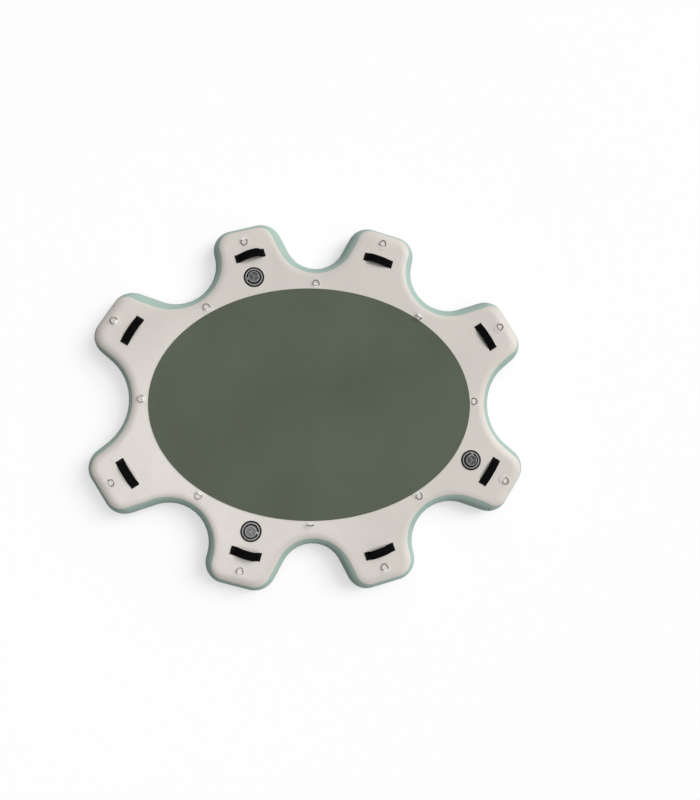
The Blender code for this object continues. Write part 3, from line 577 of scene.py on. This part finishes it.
def printed_ring():
    """Black ring with a dial of plain ticks."""
    colour = (0.004, 0.004, 0.0045)
    made = Surface("printed_ring", colour, 0.7, Specular_IOR_Level=0.15)
    split = made.node("ShaderNodeSeparateXYZ", {0: made.coords.outputs["Object"]})
    x, y = split.outputs[0], split.outputs[1]
    squared = made.math("ADD", made.math("MULTIPLY", x, x), made.math("MULTIPLY", y, y))
    radius = made.math("SQRT", squared)

    def within(value, centre, half):
        away = made.math("ABSOLUTE", made.math("SUBTRACT", value, centre))
        return made.math("LESS_THAN", away, half)

    turns = made.math("MULTIPLY", made.math("ARCTAN2", y, x), TICKS / TURN)
    phase = made.math("FRACT", made.math("ADD", turns, 100.25))
    ticks = within(phase, 0.5, TICK_SHARE / 2)
    dial = made.math("MULTIPLY", ticks, within(radius, TICK_RADIUS, TICK_LENGTH / 2))
    ink = (0.60, 0.59, 0.57)
    made.feed("Base Color", made.mix(dial, colour, ink))
    made.feed("Normal", made.bump(made.noise(900), 0.0001, 0.3))
    return made.made


CREAM = coated_fabric("cream_fabric", (0.635, 0.598, 0.548), 0.42, 0.0021)
BASE_CLOTH = coated_fabric("base_cloth_weave", (0.72, 0.72, 0.7), 0.8, 0.0016)
CREAM_PATCH = coated_fabric("cream_patch_fabric", (0.65, 0.615, 0.565), 0.46, 0.0019)
MINT = coated_fabric("mint_fabric", (0.35, 0.468, 0.418), 0.42, 0.0021)
FOAM = foam_deck()
BLACK_WEB = webbing("black_webbing_weave", (0.0022, 0.0022, 0.0025), 0.0024, 0.35)
CREAM_WEB = webbing("cream_webbing_weave", (0.86, 0.85, 0.82), 0.0018, 0.12)
THREAD = moulded("black_thread", (0.02, 0.02, 0.021), 0.7)
STEEL = metal("polished_steel", (0.12, 0.103, 0.094), 0.25)
SPRING = metal("spring_wire", (0.55, 0.55, 0.54), 0.3)
PRINT = printed_ring()
GREY = moulded("grey_moulding", (0.15, 0.155, 0.16), 0.45)
PALE_GREY = moulded("pale_grey_moulding", (0.30, 0.30, 0.305), 0.5)
# The cap's top: grey moulding with painted shade darkening its finger hollows.
CAP_TOP = moulded("cap_top_moulding", (0.15, 0.155, 0.16), 0.5, (0.05, 0.051, 0.053))
DARK = moulded("dark_moulding", (0.028, 0.028, 0.03), 0.5)


# Hull
PLACES, OUTS, SEAMS, HOLLOW = outline(0.012)
STEPS_ALONG = np.cumsum(np.linalg.norm(np.diff(PLACES, axis=0, append=PLACES[:1]), axis=1))


def rail_row(radius, angle):
    """Points round the hull at an angle from straight up, which may differ from place to place."""
    angle = np.broadcast_to(angle, len(PLACES))
    reach = (radius * np.sin(angle) - BAND_RADIUS) * SHOULDER
    flat = PLACES + OUTS * reach[:, None]
    return np.column_stack([flat, RAIL + radius * np.cos(angle)])


def inset_row(inset, height):
    flat = PLACES - OUTS * (BAND_RADIUS * SHOULDER + inset)
    return np.column_stack([flat, np.full(len(PLACES), height)])


def laid(verts):
    """Points moved down with the top skin where it starts to round over."""
    moved = []
    for x, y, z in verts:
        near = np.linalg.norm(PLACES - (x, y), axis=1).min()
        share = max(0, 1 - near / (BAND_RADIUS * SHOULDER))
        moved.append((x, y, z - RAIL * (1 - math.sqrt(1 - share**2))))
    return moved


def bore_for_valves(skin):
    """Cuts the holes that the valves' barrels pass through."""
    bore = [(BORE_RADIUS, -BARREL_RADIUS), (BORE_RADIUS, BARREL_RADIUS)]
    verts, faces = loft(turned(bore, VALVE_SIDES))
    parts = [(place(upright(*spot), verts), faces) for spot in valve_places()]
    verts, faces = join(parts)
    cutter = make("valve_bores", verts, faces, CREAM, smooth=False)
    step = skin.modifiers.new("bores", "BOOLEAN")
    step.object, step.operation, step.solver = cutter, "DIFFERENCE", "EXACT"
    shaped = skin.evaluated_get(bpy.context.evaluated_depsgraph_get())
    skin.data = bpy.data.meshes.new_from_object(shaped)
    skin.modifiers.clear()
    bpy.data.objects.remove(cutter)
    skin.data.shade_smooth()
    skin.data.set_sharp_from_angle(angle=math.radians(50))


def hull_skin(name, node, below):
    """A flat panel whose rim turns down over the side wall and ends in a rounded edge."""
    rows = [inset_row(inset, HULL_THICKNESS) for inset in SKIN_INSETS]
    steps = 12
    for step in range(steps + 1):
        rows.append(rail_row(RAIL, SEAMS * step / steps))
    edge = SKIN * 0.45
    rows.append(rail_row(RAIL - edge * 0.35, SEAMS + edge / RAIL))
    rows.append(rail_row(RAIL - SKIN, SEAMS + edge / RAIL))
    for step in range(steps, -1, -3):
        rows.append(rail_row(RAIL - SKIN, SEAMS * step / steps))
    rows.append(inset_row(SKIN_INSETS[0], HULL_THICKNESS - SKIN))
    verts, faces = loft(rows)
    if below:
        verts[:, 2] = HULL_THICKNESS - verts[:, 2]
    made = make(name, verts, faces, CREAM, sharp=50)
    if not below:
        bore_for_valves(made)
    put(made, "hull", "cream_skin", node)


def side_band():
    """The mint wall: a taut tube side with faint puckers where the bays squeeze it."""
    rows = []
    steps = 22
    first = SEAMS * 0.5
    last = math.pi - first
    for step in range(steps + 1):
        share = step / steps
        angle = first + (last - first) * share
        middle = math.sin(math.pi * share)
        pucker = 0
        for depth, pitch, start in PUCKER_WAVES:
            pucker = pucker + depth * HOLLOW * middle * np.sin(STEPS_ALONG * TURN / pitch + start)
        rows.append(rail_row(BAND_RADIUS + pucker, angle))
    for step in range(steps, -1, -2):
        rows.append(rail_row(BAND_RADIUS - SKIN, first + (last - first) * step / steps))
    verts, faces = loft(rows + rows[:1], False)
    put(make("side_band", verts, faces, MINT, sharp=60), "hull", "mint_side_wall", "side_wall")


def band_join(name, near):
    """A strip that covers a joint in the side wall and ends just short of both seams."""
    away = np.linalg.norm(PLACES + OUTS * 0.05 - np.array(near), axis=1)
    centre = int(away.argmin())
    picks = [(centre + k) % len(PLACES) for k in (-1, 0, 1)]
    rows = []
    first = SEAMS[centre] + JOIN_EASE
    steps = 20
    for step in range(steps + 1):
        angle = first + (math.pi - 2 * first) * step / steps
        points = []
        for lift, order in zip(JOIN_LIFTS, (picks, picks[::-1])):
            radius = BAND_RADIUS + lift
            for k in order:
                flat = PLACES[k] + OUTS[k] * (radius * math.sin(angle) - BAND_RADIUS) * SHOULDER
                points.append((*flat, RAIL + radius * math.cos(angle)))
        rows.append(points)
    put(make(name, *loft(rows), MINT, sharp=50), "hull", "mint_side_wall")


def core():
    """The drop-stitch cloths and yarns, with the cloths' edge kept in from the rounded rim."""
    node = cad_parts["drop_stitch_core"]
    verts = []
    for vertex in node.data.vertices:
        x, y, z = node.matrix_world @ vertex.co
        away = np.linalg.norm(PLACES - (x, y), axis=1)
        near = away.argmin()
        short = max(0, BAND_RADIUS * SHOULDER + CLOTH_MARGIN - away[near])
        verts.append((x - OUTS[near][0] * short, y - OUTS[near][1] * short, z))
    faces = [tuple(face.vertices) for face in node.data.polygons]
    made = make("core_cloths", verts, faces, BASE_CLOTH, sharp=30)
    put(made, "hull", "base_cloth", "drop_stitch_core")


def ellipse_row(margin, height, count):
    angles = np.arange(count) * TURN / count
    long_half, short_half = PAD_LENGTH / 2 + margin, PAD_WIDTH / 2 + margin
    return np.column_stack(
        [long_half * np.cos(angles), short_half * np.sin(angles), np.full(count, height)]
    )


def deck():
    low = HULL_THICKNESS + GAP
    high = low + PAD_THICKNESS
    count = 360
    rows = [ellipse_row(-inset, high, count) for inset in PAD_INSETS]
    for step in range(6):
        angle = math.pi / 2 * step / 5
        margin, drop = PAD_EDGE * (math.sin(angle) - 1), PAD_EDGE * (1 - math.cos(angle))
        rows.append(ellipse_row(margin, high - drop, count))
    rows += [ellipse_row(0, low + TUCK, count), ellipse_row(-TUCK, low, count)]
    made = put(make("deck_foam", *loft(rows), FOAM, sharp=50), "hull", "sage_foam", "deck_pad")


# D-rings and their patches
def ring_mesh():
    """A D of round bar: its straight side along X through the origin, its bow towards +Y."""
    half = (RING_WIDTH - RING_BAR) / 2
    bar = half - RING_CORNER
    reach = RING_DEPTH - RING_BAR - RING_CORNER

    def arc(centre, across, along, start, sweep, shares):
        angles = [start + sweep * share for share in shares]
        unit = [(math.cos(a), math.sin(a)) for a in angles]
        return [(centre + across * x, RING_CORNER + along * y, 0) for x, y in unit]

    quarter, fifths = math.pi / 2, np.arange(1, 5) / 5
    path = [(x, 0, 0) for x in np.linspace(-bar, bar, 9)]
    path += arc(bar, RING_CORNER, RING_CORNER, -quarter, quarter, fifths)
    path += arc(0, half, reach, 0, math.pi, np.arange(33) / 32)
    path += arc(-bar, RING_CORNER, RING_CORNER, math.pi, quarter, fifths)
    rows = tube(path, RING_BAR / 2, 14, True)
    return loft(rows + rows[:1], False)


def circle(radius, count):
    angles = np.arange(count) * TURN / count
    return np.column_stack([np.cos(angles), np.sin(angles)]) * radius


def flat_piece(shape, thickness, low):
    """A sheet with a shape's outline and a soft upper edge, its underside at a height."""
    centre = shape.mean(0)
    soft = thickness * 0.6
    rows = []
    for inset, height in (
        (0.0, 0.0), (0.0, thickness - soft), (soft * 0.3, thickness - soft * 0.3),
        (soft, thickness), (soft * 4, thickness),
    ):
        lengths = np.linalg.norm(shape - centre, axis=1)[:, None]
        flat = centre + (shape - centre) * (1 - inset / lengths)
        rows.append(np.column_stack([flat, np.full(len(shape), low + height)]))
    return loft(rows)


def with_uv(made, uvs):
    layer = made.data.uv_layers.new(name="strap")
    for loop in made.data.loops:
        layer.data[loop.index].uv = uvs[loop.vertex_index]


def strap(path, width, thickness):
    """Rows across a flat strap along a path in the YZ plane, and their UVs in metres."""
    path = np.asarray(path, float)
    lengths = np.concatenate([[0], np.cumsum(np.linalg.norm(np.diff(path, axis=0), axis=1))])
    tangents = np.gradient(path, axis=0)
    tangents /= np.linalg.norm(tangents, axis=1)[:, None]
    across = 10
    rows, uvs = [], []
    edge = thickness * 0.35
    for point, tangent, run in zip(path, tangents, lengths):
        normal = np.array([-tangent[1], tangent[0]])
        ring = []
        for k in range(across + 1):
            s = -1 + 2 * k / across
            side = s * width / 2 - math.copysign(edge * 0.3, s) * (abs(s) == 1)
            ring.append((side, thickness / 2 - (edge if abs(s) == 1 else 0)))
        row = []
        for side, lift in ring + [(side, -lift) for side, lift in reversed(ring)]:
            at = point + normal * lift
            row.append((side, at[0], at[1]))
            uvs.append((run, side))
        rows.append(np.array(row))
    return rows, uvs


def keeper_rows():
    """Rows and UVs of the webbing loop over a ring's bar, in its frame, the tail along -Y."""
    base = -RING_BAR / 2 - GAP
    loop_radius = RING_BAR / 2 + GAP + KEEPER / 2 + 0.0004
    path = [(loop_radius, base - 0.001), (loop_radius, base + 0.0015)]
    for step in range(13):
        a = math.pi * step / 12
        path.append((loop_radius * math.cos(a), loop_radius * math.sin(a)))
    path += [(-loop_radius - 0.0004, base + 0.0026), (-loop_radius - 0.0022, base + KEEPER * 0.62)]
    path += [(-loop_radius - 0.005, base + KEEPER * 0.5), (-KEEPER_TAIL, base + KEEPER * 0.5)]
    return strap(path, KEEPER_WIDTH, KEEPER)


def ring_station(number, matrix, tilt, shape):
    """A ring, its keeper and its patch, in a frame under the middle of the ring's bar."""
    ring_frame = matrix @ Matrix.Translation((0, 0, BAR_HEIGHT))
    verts, faces = ring_mesh()
    verts = place(ring_frame @ Matrix.Rotation(tilt, 4, "X"), verts)
    made = make(f"ring_{number}_steel", verts, faces, STEEL)
    put(made, f"ring_{number}", "stainless_ring", f"d_ring_{number}")
    verts, faces = flat_piece(shape, PATCH, GAP)
    # A bent patch's end faces are filled from their last corner.
    faces = [face[::-1] for face in faces]
    made = make(f"patch_{number}", laid(place(matrix, verts)), faces, CREAM_PATCH, sharp=50)
    put(made, "hull", "cream_patch", f"d_ring_patch_{number}")
    facing = Matrix.Rotation(math.pi if tilt > math.pi / 2 else 0, 4, "Z")
    rows, uvs = keeper_rows()
    verts, faces = loft(rows)
    made = make(f"keeper_{number}", place(ring_frame @ facing, verts), faces, CREAM_WEB, sharp=45)
    with_uv(made, uvs)
    put(made, "hull", "cream_patch")


def bay_shape(ring_frame):
    """Outline of a bay's patch: a round outer end and an inner end along the pad's edge."""
    inverse = ring_frame.inverted()
    rim = ellipse_row(GAP, HULL_THICKNESS, 7200)
    local = np.array([tuple(inverse @ Vector(spot))[:2] for spot in rim])
    near = local[(np.abs(local[:, 1]) < 0.08) & (np.abs(local[:, 0]) < PATCH_RADIUS)]
    near = near[np.argsort(near[:, 0])]
    picks = near[np.linspace(0, len(near) - 1, 13).astype(int)]
    outer = circle(PATCH_RADIUS, 64)[:33] + (0, BAY_PATCH_OFFSET)
    inner = np.linspace(0, 1, 5)[1:-1, None]
    left, right = outer[-1], outer[0]
    sides = left + (picks[0] - left) * inner, picks[-1] + (right - picks[-1]) * inner
    return np.concatenate([outer, sides[0], picks, sides[1]])


# Handles
def handle_line(count, height, lean):
    """Points along a handle's middle, seen from its side: a flat foot, a leaning arch, a foot."""
    run = HANDLE_LENGTH / 2 - HANDLE_FOOT
    base = GAP + HANDLE_STRAP / 2
    line = [(x, base) for x in np.linspace(-HANDLE_LENGTH / 2, -run - 0.004, 6)]
    for step in range(count + 1):
        share = 2 * step / count - 1
        skewed = share + lean * (1 - share * share)
        rise = height * (1 - abs(skewed) ** HANDLE_CROWN)
        line.append((run * share, base + rise))
    line += [(x, base) for x in np.linspace(run + 0.004, HANDLE_LENGTH / 2, 6)]
    smooth = np.array(line)
    kernel = np.array([1, 2, 1]) / 4
    for _ in range(2):
        smooth[1:-1, 1] = np.convolve(smooth[:, 1], kernel, "valid")
    smooth[:, 1] = np.maximum(smooth[:, 1], base)
    return smooth


def stitch_row(start, end, height, count):
    """A row of short raised stitches between two places at a height."""
    parts = []
    start, end = Vector((*start, height)), Vector((*end, height))
    step, lift = (end - start) / count, Vector((0, 0, STITCH * 0.6))
    for k in range(count):
        a, b = start + step * (k + 0.15), start + step * (k + 0.85)
        path = [a, a.lerp(b, 0.3) + lift, a.lerp(b, 0.7) + lift, b]
        parts.append(loft(tube([tuple(p) for p in path], STITCH / 2, 6, False)))
    return parts


def handle(number, matrix):
    """A handle's strap, with a stitched and crossed box on each foot."""
    line = handle_line(36, HANDLE_HEIGHTS[number - 1], HANDLE_LEANS[number - 1])
    rows, uvs = strap(line, HANDLE_WIDTH, HANDLE_STRAP)
    verts, faces = loft(rows)
    local = matrix @ Matrix(((0, 1, 0, 0), (1, 0, 0, 0), (0, 0, 1, 0), (0, 0, 0, 1)))
    made = make(f"handle_{number}_strap", place(local, verts), faces, BLACK_WEB, sharp=40)
    with_uv(made, uvs)
    put(made, "hull", "black_webbing", f"handle_{number}")
    top = GAP + HANDLE_STRAP + 0.0001
    parts = []
    inner, outer = HANDLE_LENGTH / 2 - HANDLE_FOOT + 0.005, HANDLE_LENGTH / 2 - 0.003
    side = HANDLE_WIDTH / 2 - 0.004
    for sign in (-1, 1):
        a, b = sign * inner, sign * outer
        box = [(-side, a), (side, a), (side, b), (-side, b)]
        for start, end in zip(box, box[1:] + box[:1]):
            parts += stitch_row(start, end, top, max(4, int(math.dist(start, end) / STITCH_PITCH)))
        for start, end in ((box[0], box[2]), (box[1], box[3])):
            parts += stitch_row(start, end, top, CROSS_STITCHES)
    verts, faces = join(parts)
    made = make(f"handle_{number}_stitching", place(local, verts), faces, THREAD)
    put(made, "hull", "black_webbing")


# Valves
def lathe(profile, soft, steps, capped=False):
    """A profile with softened corners turned about Z."""
    return loft(turned(rounded(profile, soft), steps), capped)


def cap_top(radius, angle):
    """Height below the cap's top at a place on it: three finger hollows between ribs."""
    third = TURN / 3
    nearest = np.abs((angle + third / 2) % third - third / 2)
    to_rib = radius * np.sin(nearest) - CAP_RIB / 2
    to_rim = CAP_RADIUS - CAP_RIM - radius
    to_hub = radius - CAP_HUB_RADIUS - HUB_EASE
    inside = np.minimum(np.minimum(to_rib, to_rim), to_hub)
    share = np.clip((inside + FLANK_START) / FLANK, 0, 1)
    return CAP_HOLLOW * share * share * (3 - 2 * share)


def cap_columns(radius, even):
    """Angles of the cap's columns at a radius: they run along the ribs' flanks inside the rim."""
    flank = CAP_RIB / 2 - FLANK_START + np.linspace(0, FLANK, 8)
    flank = np.arcsin(np.minimum(flank / radius, np.linspace(0.5, 0.8, 8)))
    half = np.concatenate([[0], flank, np.linspace(flank[-1], TURN / 6, 17)[1:]])
    third = np.concatenate([half, TURN / 3 - half[-2:0:-1]])
    follow = np.concatenate([third, third + TURN / 3, third + TURN * 2 / 3])
    share = np.clip((radius - CAP_RADIUS + CAP_RIM) / (CAP_RIM - CAP_EDGE), 0, 1)
    return follow + (even - follow) * share


def cap_mesh():
    """Moulded cap: knurled rim, three finger hollows, a skirt inside the barrel."""
    top = CAP_BASE + CAP_HEIGHT
    angles = np.arange(CAP_COLUMNS) * TURN / CAP_COLUMNS
    grip = GRIP_DEPTH * (0.5 + 0.5 * np.cos(angles * GRIP_TEETH))
    rows = []

    def add(reach, height, columns=angles):
        height = np.broadcast_to(height, CAP_COLUMNS)
        rows.append(np.column_stack([reach * np.cos(columns), reach * np.sin(columns), height]))

    for radius in np.linspace(0.0008, CAP_RADIUS - CAP_EDGE, 46):
        columns = cap_columns(radius, angles)
        sunk = cap_top(radius, columns) + CAP_DOME * (radius / CAP_RADIUS) ** 2
        add(radius, top - sunk, columns)
    for share in np.linspace(0, 1, 5)[1:]:
        bend = math.pi / 2 * share
        radius = CAP_RADIUS - CAP_EDGE * (1 - math.sin(bend))
        add(radius - share * grip, top - CAP_DOME - CAP_EDGE * (1 - math.cos(bend)))
    for height in (0.004, 0.0012):
        add(CAP_RADIUS - grip, CAP_BASE + height)
    add(CAP_RADIUS - 0.0011, CAP_BASE + 0.0003)
    add(CAP_RADIUS - CAP_EDGE, CAP_BASE)
    for inwards, down in SKIRT:
        add(BARREL_BORE * math.cos(math.pi / 14) - GAP - inwards, CAP_BASE - down)
    return loft(rows)


def tether_mesh(bearing):
    """A thin ring under the cap's rim with a tail that leaves along a bearing."""
    low = CAP_BASE + GAP
    inner, outer = CAP_RADIUS - 0.005, CAP_RADIUS - 0.0012
    under, over = low + 0.0002, low + TAIL
    section = [(inner, under), (outer, under), (outer, over), (inner, over), (inner, under)]
    start, end = CAP_RADIUS - 0.002, CAP_RADIUS + TAIL_LENGTH
    half = TAIL_WIDTH / 2
    bends = [-math.pi / 2 + math.pi * k / 8 for k in range(9)]
    shape = [(end - half + half * math.cos(a), half * math.sin(a)) for a in bends]
    verts, faces = flat_piece(np.array(shape + [(start, half), (start, -half)]), TAIL, low)
    tail = place(Matrix.Rotation(bearing, 4, "Z"), verts), faces
    return join([lathe(section, 0.0005, VALVE_SIDES), tail])


def surround_mesh():
    inner, outer, low, high = SURROUND_BORE, SURROUND_RADIUS, GAP, GAP + SURROUND
    section = [(inner, high), (outer, high), (outer, low), (inner, low), (inner, high)]
    return lathe(section, 0.0004, 96)


def body_mesh():
    """The valve's body: flange, barrel with its seat, nut, and the plunger's hub on its spokes."""
    bottom = -BARREL_DEPTH
    nut_bottom = NUT_TOP - NUT
    profile = [
        (BARREL_BORE, FLANGE_TOP), (FLANGE_RADIUS, FLANGE_TOP), (FLANGE_RADIUS, GAP),
        (BARREL_RADIUS, GAP), (BARREL_RADIUS, NUT_TOP), (NUT_RADIUS, NUT_TOP),
        (NUT_RADIUS, nut_bottom), (BARREL_RADIUS, nut_bottom), (BARREL_RADIUS, bottom),
        (SEAT_BORE, bottom), (SEAT_BORE, bottom + SEAT), (BARREL_BORE, bottom + SEAT),
        (BARREL_BORE, FLANGE_TOP),
    ]
    parts = [lathe(profile, 0.0005, VALVE_SIDES)]
    hub_bore = STEM_RADIUS + 0.0005
    hub_bottom = HUB_TOP - HUB_HEIGHT
    hub = [
        (hub_bore, HUB_TOP), (HUB_RADIUS, HUB_TOP), (HUB_RADIUS, hub_bottom),
        (hub_bore, hub_bottom), (hub_bore, HUB_TOP),
    ]
    parts.append(lathe(hub, 0.0004, 40))
    half, top = SPOKE_WIDTH / 2, HUB_TOP - 0.0005
    ring = [(half, hub_bottom), (half, top), (-half, top), (-half, hub_bottom)]
    ends = HUB_RADIUS - 0.0005, BARREL_BORE + 0.001
    verts, faces = loft([[(x, y, z) for y, z in ring] for x in ends])
    for spoke in range(SPOKES):
        parts.append((place(Matrix.Rotation(TURN * spoke / SPOKES, 4, "Z"), verts), faces))
    return join(parts)


def plunger_mesh():
    profile = [
        (0.0005, -BUTTON_DEPTH - 0.0006), (BUTTON_RADIUS * 0.6, -BUTTON_DEPTH - 0.0005),
        (BUTTON_RADIUS * 0.7, -BUTTON_DEPTH), (BUTTON_RADIUS, -BUTTON_DEPTH),
        (BUTTON_RADIUS, BUTTON_BOTTOM), (STEM_RADIUS, BUTTON_BOTTOM), (STEM_RADIUS, POPPET_TOP),
        (POPPET_RADIUS, POPPET_TOP), (POPPET_RADIUS, POPPET_TOP - POPPET),
        (0.0005, POPPET_TOP - POPPET),
    ]
    return lathe(profile, 0.0004, 48, True)


def spring_mesh():
    low = HUB_TOP + GAP + SPRING_WIRE / 2
    high = BUTTON_BOTTOM - GAP - SPRING_WIRE / 2
    path = []
    for share in np.linspace(0, 1, SPRING_TURNS * 24 + 1):
        out = direction(TURN * SPRING_TURNS * share) * SPRING_RADIUS
        path.append((*out, low + (high - low) * share))
    return loft(tube(path, SPRING_WIRE / 2, 10, False))


def valve(number, matrix, tether):
    """One valve in its frame: printed ring, body, plunger, spring, and cap with its tether."""
    made = make(f"valve_ring_{number}", *surround_mesh(), PRINT, sharp=35)
    put(made, "hull", "black_surround", f"valve_surround_{number}", matrix=matrix)
    made = make(f"valve_{number}_body", *body_mesh(), DARK, sharp=35)
    put(made, "hull", "dark_plastic", f"valve_body_{number}", matrix=matrix)
    made = make(f"plunger_{number}_button", *plunger_mesh(), GREY, sharp=35)
    put(made, f"plunger_{number}", "grey_plastic", f"valve_plunger_{number}", matrix=matrix)
    coil = make(f"spring_{number}_coil", *spring_mesh(), SPRING)
    put(coil, "hull", "spring_steel", f"valve_spring_{number}", matrix=matrix)
    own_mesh(coil)
    cap = make(f"cap_{number}_moulding", *cap_mesh(), GREY, sharp=40)
    # The top's faces get the material with painted shade in the hollows.
    cap.data.materials.append(CAP_TOP)
    cap.data.materials.append(PALE_GREY)
    for face in cap.data.polygons:
        if math.hypot(face.center.x, face.center.y) > CAP_RADIUS - CAP_RIM * 0.7:
            face.material_index = 2
        elif face.center.z > CAP_BASE + GAP:
            face.material_index = 1
    put(cap, f"cap_{number}", "grey_plastic", f"valve_cap_{number}", matrix=matrix)
    turn = tether - math.atan2(matrix[1][0], matrix[0][0])
    made = make(f"cap_{number}_tether", *tether_mesh(turn), PALE_GREY, sharp=40)
    put(made, f"cap_{number}", "grey_plastic", matrix=matrix)


def stage():
    """Pale floor, soft lights and the camera at the photograph's angle."""
    signs = (-1, -1), (1, -1), (1, 1), (-1, 1)
    corners = [(FLOOR_HALF * x, FLOOR_HALF * y, -FLOOR_DROP) for x, y in signs]
    floor_look = Surface("pale_floor", (0.5, 0.5, 0.5), 0.9, Specular_IOR_Level=0.1)
    glow = floor_look.node("ShaderNodeLightPath").outputs["Is Camera Ray"]
    floor_look.shader.inputs["Emission Color"].default_value = (1, 1, 1, 1)
    floor_look.feed("Emission Strength", floor_look.math("MULTIPLY", glow, FLOOR_GLOW))
    make("floor", corners, [(0, 1, 2, 3)], floor_look.made, False)
    world = bpy.data.worlds.new("studio")
    bpy.context.scene.world = world
    world.use_nodes = True
    nodes, links = world.node_tree.nodes, world.node_tree.links
    coords = nodes.new("ShaderNodeTexCoord")
    towards = nodes.new("ShaderNodeVectorMath")
    towards.operation = "DOT_PRODUCT"
    towards.inputs[1].default_value = Vector(SKY_TILT).normalized()
    links.new(coords.outputs["Generated"], towards.inputs[0])
    fade = nodes.new("ShaderNodeValToRGB")
    for element, grey in zip(fade.color_ramp.elements, (LOW_SKY, HIGH_SKY)):
        element.color = (grey, grey, grey, 1)
    links.new(towards.outputs["Value"], fade.inputs[0])
    seen = nodes.new("ShaderNodeLightPath")
    shown = nodes.new("ShaderNodeMix")
    shown.data_type = "RGBA"
    links.new(seen.outputs["Is Camera Ray"], shown.inputs[0])
    links.new(fade.outputs[0], shown.inputs[6])
    shown.inputs[7].default_value = (SEEN_SKY, SEEN_SKY, SEEN_SKY, 1)
    links.new(shown.outputs[2], nodes["Background"].inputs["Color"])

    def lamp(name, kind, at, towards, power, **settings):
        light = bpy.data.lights.new(name, kind)
        light.energy = power
        for key, value in settings.items():
            setattr(light, key, value)
        made = linked(name, light)
        made.location = at
        aim = Vector(towards) - Vector(at)
        made.rotation_euler = aim.to_track_quat("-Z", "Y").to_euler()
        return made

    lamp("key", "SUN", KEY_PLACE, (0, 0, 0), KEY, angle=KEY_ANGLE)
    gloss = lamp("gloss", "AREA", SHEEN_PLACE, SHEEN_AIM, SHEEN, size=SHEEN_SIZE)
    gloss.visible_diffuse = gloss.visible_camera = False
    camera = bpy.data.cameras.new("camera")
    camera.sensor_width = SENSOR
    camera.lens = FOCAL_PIXELS / FRAME_PIXELS * SENSOR
    made = linked("camera", camera)
    back = Vector(CAMERA_BACK).normalized()
    up = back.cross(Vector(CAMERA_RIGHT)).normalized()
    right = up.cross(back).normalized()
    rotation = Matrix((right, up, back)).transposed()
    made.matrix_world = Matrix.Translation(CAMERA_PLACE) @ rotation.to_4x4()
    bpy.context.scene.camera = made
    bpy.context.scene.view_settings.view_transform = "Standard"


def build():
    hull_skin("deck_skin", "top_skin", False)
    hull_skin("underside_skin", "bottom_skin", True)
    side_band()
    for number, near in enumerate(BAND_JOINS, start=1):
        band_join(f"band_join_{number}", near)
    core()
    deck()
    for number, (point, bearing, tilt) in enumerate(ring_places(), start=1):
        matrix = upright(point, bearing)
        shape = bay_shape(matrix) if number > len(LOBE_TILTS) else circle(PATCH_RADIUS, 64)
        ring_station(number, matrix, tilt, shape)
    for number, (point, bearing) in enumerate(handle_places(), start=1):
        handle(number, upright(point, bearing))
    for number, tether in enumerate(TETHER_BEARINGS, start=1):
        valve(number, upright(*valve_places()[number - 1]), tether)
    stage()


build()
